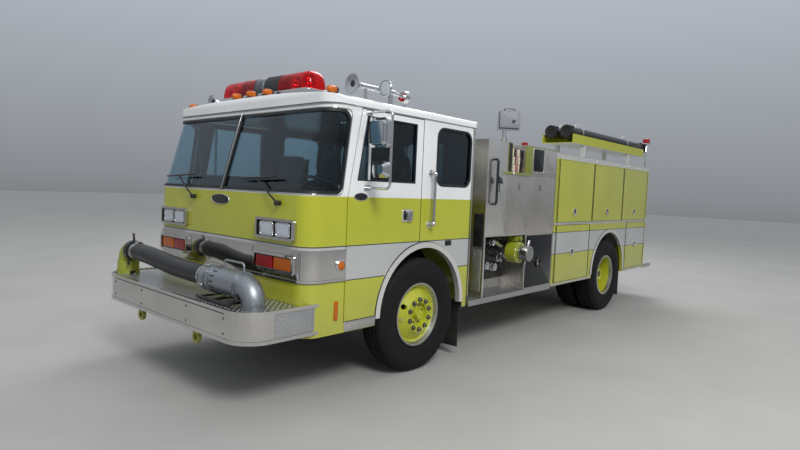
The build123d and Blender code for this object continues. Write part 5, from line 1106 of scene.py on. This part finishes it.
for tone, finish in JACKETS.items():
    piece(f"folded_hose_{tone}", finish, *hoses[tone], replaces=["crosslay_hose"])

# Body: top rail rivets, mouldings, latches, arch welting and the tail
piece("top_rail_rivets", CHROME, both(skin_rivets((2.64, 5.97), (2.24, 2.24), 0.148, 0.007, 1.2195)))
piece("body_mouldings", LIGHT_PANEL,
    both(skin_bead((2.585, 6.024), (1.362, 1.362), 0.034, 0.007),
        skin_plate((2.59, 3.79), (0.552, 0.581), 0.003), skin_plate((5.102, 6.022), (0.552, 0.581), 0.003),
        skin_bead((2.6, 6.01), (2.272, 2.272), 0.01, 0.005),
        skin_bead((5.086, 5.086), (0.592, 1.338), 0.02, 0.006)))
piece("body_seams", RUBBER,
    both(skin_plate((2.6455, 2.6515), (0.56, 2.196), 0.0018, 0.001),
        skin_plate((2.5825, 2.5875), (0.56, 2.196), 0.0018, 0.001)))
arch_bead("rear_arch_welting", REAR_AXLE, 0.6495)
UPPER, LOWER = (1.381, 2.2, 0.14), (0.592, 1.343, 0.385)     # sill, head and latch above the sill
DOORS = {"upper_1": (2.66, 3.762, *UPPER), "upper_2": (3.762, 4.891, *UPPER),
    "upper_3": (4.891, 5.98, *UPPER), "lower_front": (2.66, 3.715, *LOWER),
    "lower_rear": (5.112, 5.98, *LOWER)}
half_turn = np.linspace(0, np.pi, 17)
LATCH_CUP = [(0, 0.036), (0.0012, 0.036), (0.0016, 0.034), (0.0016, 0.0005)]
for label, (s0, s1, z0, z1, rise) in DOORS.items():
    y, z = at(s0 + 0.46 * (s1 - s0)), z0 + rise
    seals = [skin_plate((s - 0.01, s + 0.01), (z0 + 0.006, z1 - 0.01), 0.0012, 0.002, x=1.224)
        for s in (s0 + 0.015, s1 - 0.015)]
    pair(f"door_seals_{label}", EDGE_SEAL, f"locker_door_{label}", *seals)
    pair(f"latch_cup_{label}", SATIN_BLACK, f"locker_door_{label}",
        turned(LATCH_CUP, (1.234, y, z), steps=36))
    bow = np.stack([np.full(17, 1.2385), y + 0.03 * np.cos(half_turn),
            z - 0.004 - 0.026 * np.sin(half_turn)], -1)
    hinge_pin = bar((1.2385, y - 0.033, z - 0.004), (1.2385, y + 0.033, z - 0.004), 0.0042)
    pair(f"latch_ring_{label}", CHROME, f"locker_door_{label}", swept(bow, ring_section(0.0036, 8), ACROSS),
        hinge_pin)
tail_red, tail_amber, tail_frames, beacon_bases, beacon_lenses = [], [], [], [], []
for side in (-1, 1):
    for z, pick in ((1.27, tail_red), (1.15, tail_amber)):
        centre = (side * 0.89, BODY_REAR + 0.004, z)
        lines = ribs(np.array(centre), (-0.118, 0.026, 0), (0.118, 0.026, 0), (0, 0, 0.026), 6, 0.007,
            0.0016, BEHIND)
        pick.append(joined(plate(rounded(0.272, 0.078, 0.014), centre, REAR, 0.026, 0.007), *lines))
        behind_lens = (side * 0.89, BODY_REAR, z)
        tail_frames.append(plate(rounded(0.3, 0.104, 0.016), behind_lens, REAR, 0.012, 0.004))
    x, y = side * 1.172, BODY_REAR - 0.085
    beacon_bases.append(turned(disc(0.391, 0.013), (x, y, 2.275), UP, 16))
    beacon_bases.append(box((x - 0.047, y - 0.064, 2.666), (x + 0.047, y + 0.064, 2.684), 0.01))
    beacon_lenses.append(plate(rounded(0.092, 0.124, 0.024, 6), (x, y, 2.683), TOP, 0.076, 0.014))
for name, finish, shapes in (("tail_lenses_red", LENS_RED, tail_red),
        ("tail_lenses_amber", LENS_AMBER, tail_amber), ("tail_lamp_frames", CHROME, tail_frames),
        ("beacon_posts", CHROME, beacon_bases), ("beacon_lenses", LENS_RED, beacon_lenses)):
    piece(name, finish, *shapes, replaces=["lamps"])


# Steps: diamond plate on the running boards and the tail board
def clear_of_recess(x, y):
    """True where a lug lies in front of the pump recess's back wall, or behind the recess."""
    return (x > RECESS_BACK + 0.01) | (y > at(1.89))


piece("step_lugs", TREAD,
    both(diamond_lugs((0.345, 1.8), (1.042, at(1.672), 0.585), TOP, 0.032, clear_of_recess)),
    diamond_lugs((2.4, 0.37), (0, BODY_REAR + 0.194, 0.6), TOP, 0.034))
board_edges = [skin_bead(ends, (0.555, 0.555), 0.054, 0.004, x=HALF - 0.004)
    for ends in ((0.77, 1.465), (1.475, 2.57))]
piece("step_edges", POLISHED, both(*board_edges),
    moulding((-1.2, 4.176, 0.57), (1.2, 4.176, 0.57), 0.05, 0.004, BEHIND))

# Hard suction hoses: couplings at their ends, straps over the saddles and wire lifting handles
RACK = (0.8, 1.03)
SUCTION_Z = 2.615
COUPLINGS = (3.18, 6.038)               # the stations where each hose's two couplings start
ring = [(0, 0.0905), (0.006, 0.094), (0.03, 0.094), (0.034, 0.0905)]
couplings, straps, handles = [], [], []
for x in RACK:
    for station in COUPLINGS:
        y0 = at(station)
        couplings.append(turned(ring, (x, y0 + 0.014, SUCTION_Z), BEHIND, 40))
        for t in (0.6, 0.6 + np.pi):
            out = np.array((math.cos(t), 0.0, math.sin(t)))
            along = np.array((math.sin(t), 0.0, -math.cos(t)))
            place = np.array((x, y0 + 0.031, SUCTION_Z)) + out * 0.09
            facing = np.array([along, BEHIND, out])
            couplings.append(plate(rounded(0.022, 0.034, 0.005), place, facing, 0.024, 0.005))
    for station in (3.57, 5.27):
        turn = np.linspace(-0.25, np.pi + 0.25, 25)
        path = np.stack([x + 0.0765 * np.cos(turn), np.full(25, at(station)),
                SUCTION_Z + 0.0765 * np.sin(turn)], -1)
        straps.append(swept(path, rounded(0.04, 0.003, 0.001, 2), BEHIND))
    for station in (3.44, 5.19):
        loop = smooth([(x, at(station), SUCTION_Z + 0.07), (x, at(station), SUCTION_Z + 0.122),
                (x, at(station) + 0.3, SUCTION_Z + 0.122), (x, at(station) + 0.3, SUCTION_Z + 0.07)])
        handles.append(swept(loop, ring_section(0.0055, 8), ACROSS))
piece("suction_couplings", SATIN_BLACK, *couplings)
MOUTH = [(0, 0.082), (0.004, 0.08), (0.006, 0.074), (0.002, 0.068), (0.002, 0.0005)]
mouths = [turned(MOUTH, (x, at(COUPLINGS[0]), SUCTION_Z), AHEAD, 36) for x in RACK]
piece("suction_mouths", RUBBER, *mouths)
piece("suction_straps", POLISHED, *straps)
piece("suction_handles", WHITE_ENAMEL, *handles)

# Floodlight: its glass and rim on one face, a cover's screws and tilt knob on the other, and a carrying
# handle on top
TURN = math.radians(42)
FLOOD_X = np.array((math.cos(TURN), math.sin(TURN), 0.0))
FLOOD = np.array((1.13, at(1.436), 2.558)) + 0.048 * FLOOD_X
BACK = np.array([FLOOD_X, UP, np.cross(FLOOD_X, UP)])
LAMP = np.array([-FLOOD_X, UP, -BACK[2]])
cover = [plate(rounded(0.196, 0.164, 0.016), FLOOD + BACK[2] * 0.048, BACK, 0.003, 0.0015)]
cover += [dome(FLOOD + BACK[2] * 0.0505 + FLOOD_X * dx + (0, 0, dz), BACK[2], 0.006, 0.003)
    for dx in (-0.084, 0.084) for dz in (-0.068, 0.068)]
piece("floodlight_cover", LAMP_GREY, *cover, body="floodlight")
HANDLE = ((-0.056, 0.088), (-0.056, 0.128), (0.056, 0.128), (0.056, 0.088))
handle_path = smooth([FLOOD + FLOOD_X * dx + (0, 0, dz) for dx, dz in HANDLE], 2)
tilt_knob = turned([(0, 0.009), (0.01, 0.009), (0.012, 0.015), (0.024, 0.015), (0.027, 0.001)],
    FLOOD + BACK[2] * 0.05 + FLOOD_X * 0.044 + (0, 0, -0.02), BACK[2], 20)
piece("floodlight_handle", SATIN_BLACK, swept(handle_path, ring_section(0.0078, 8), BACK[2]), tilt_knob,
    body="floodlight")
piece("floodlight_glass", LENS_CLEAR,
    plate(rounded(0.176, 0.144, 0.012), FLOOD + LAMP[2] * 0.058, LAMP, 0.003, 0.001), body="floodlight")
piece("floodlight_rim", SATIN_BLACK,
    frame_ring(rounded(0.212, 0.18, 0.018), FLOOD + LAMP[2] * 0.047, LAMP, half_round(0.014, 0.008)),
    body="floodlight")


# Seats: crowned cushions with sewn channels over plain bases
def cushion(low, high, channels, axis, square=0.28, groove=0.01):
    """A stuffed block: half sizes times sign(cos) * |cos| ^ square in latitude and longitude, with
    sewn channels that press its surface in where cos(channels * across) nears one."""
    low, high = np.asarray(low, float), np.asarray(high, float)
    rows = np.linspace(-np.pi / 2, np.pi / 2, 41)[:, None]
    cols = np.linspace(0, 2 * np.pi, 96, endpoint=False)[None]

    def power(value):
        return np.sign(value) * np.abs(value) ** square

    unit = np.stack([power(np.cos(rows)) * power(np.cos(cols)), power(np.cos(rows)) * power(np.sin(cols)),
            np.broadcast_to(power(np.sin(rows)), (41, 96))], -1)
    crown = 1 - 0.05 * (unit ** 2).sum(-1, keepdims=True) / 3
    seam = np.exp(-((np.cos(channels * unit[..., 0] * np.pi / 2) ** 2) / 0.02))
    shape = unit * crown * (high - low) / 2
    press = np.zeros(3)
    press[axis] = 1.0
    shape = shape - np.sign(shape) * press * seam[..., None] * groove * (
        np.abs(unit[..., axis:axis + 1]) > 0.8)
    return grid(shape + (low + high) / 2, wrap_cols=True, cap=True)


SEAT_X, SEAT_REAR = 0.79, at(-0.1)
bases = []
for side in (-1, 1):
    x = side * SEAT_X
    bases.append(box((x - 0.2, SEAT_REAR - 0.46, 1.235), (x + 0.2, SEAT_REAR - 0.02, 1.402), 0.01))
    label = "left" if side > 0 else "right"
    for part, low, high, faced in (("cushion", (x - 0.238, -0.518, 1.400), (x + 0.238, -0.002, 1.520), 2),
                                   ("back", (x - 0.228, 0.0, 1.422), (x + 0.228, 0.108, 2.058), 1)):
        pad = cushion(np.array(low) + (0, SEAT_REAR, 0), np.array(high) + (0, SEAT_REAR, 0), 4, faced)
        piece(f"seat_{part}_{label}", VINYL, pad, replaces=["seats"], sharp=60)
piece("seat_bases", SATIN_BLACK, *bases, replaces=["seats"])


# Floor and light
def studio():
    """A pale floor, a soft sky brighter overhead than at the horizon, and two large soft lamps."""
    floor = bpy.data.meshes.new("studio_floor")
    reach = 60.0
    corners = [(-reach, -reach, 0), (reach, -reach, 0), (reach, reach, 0), (-reach, reach, 0)]
    floor.from_pydata(corners, [], [(0, 1, 2, 3)])
    # Pale matt studio floor, faintly mottled as rolled paint is
    floor.materials.append(plain_coat("studio_floor_paint", "#A6A4A0", "#AFADA9", 0.7, (0.75, 0.9)))
    placed("studio_floor", floor)
    world = bpy.data.worlds.new("studio")
    bpy.context.scene.world = world
    world.use_nodes = True
    tree = world.node_tree
    axes = add_node(tree, "SeparateXYZ", {"Vector": add_node(tree, "TexCoord").outputs["Generated"]})
    height = add_node(tree, "MapRange", {"Value": axes.outputs["Z"], "From Min": -0.1, "From Max": 0.8})
    sky = add_node(tree, "ValToRGB", {"Fac": height})
    colour_stops(sky, [(0.0, "#6E6D6B"), (0.12, "#8F9398"), (0.42, "#B7BDC6"), (0.9, "#DDE2E8")])
    connect(tree, tree.nodes["Background"], {"Color": sky, "Strength": 0.9})
    for place, size, power, aim in (((9.0, -7.0, 9.0), 3.4, 900.0, (0.0, -1.0, 1.0)),
            ((-5.0, 7.0, 12.0), 7.0, 800.0, (0.0, 0.0, 1.0))):
        lamp = bpy.data.lights.new("soft_lamp", "AREA")
        lamp.size = size
        lamp.energy = power
        placed("soft_lamp", lamp, place, across_of(np.array(place) - np.array(aim)))
    bpy.context.scene.view_settings.view_transform = "Standard"


studio()
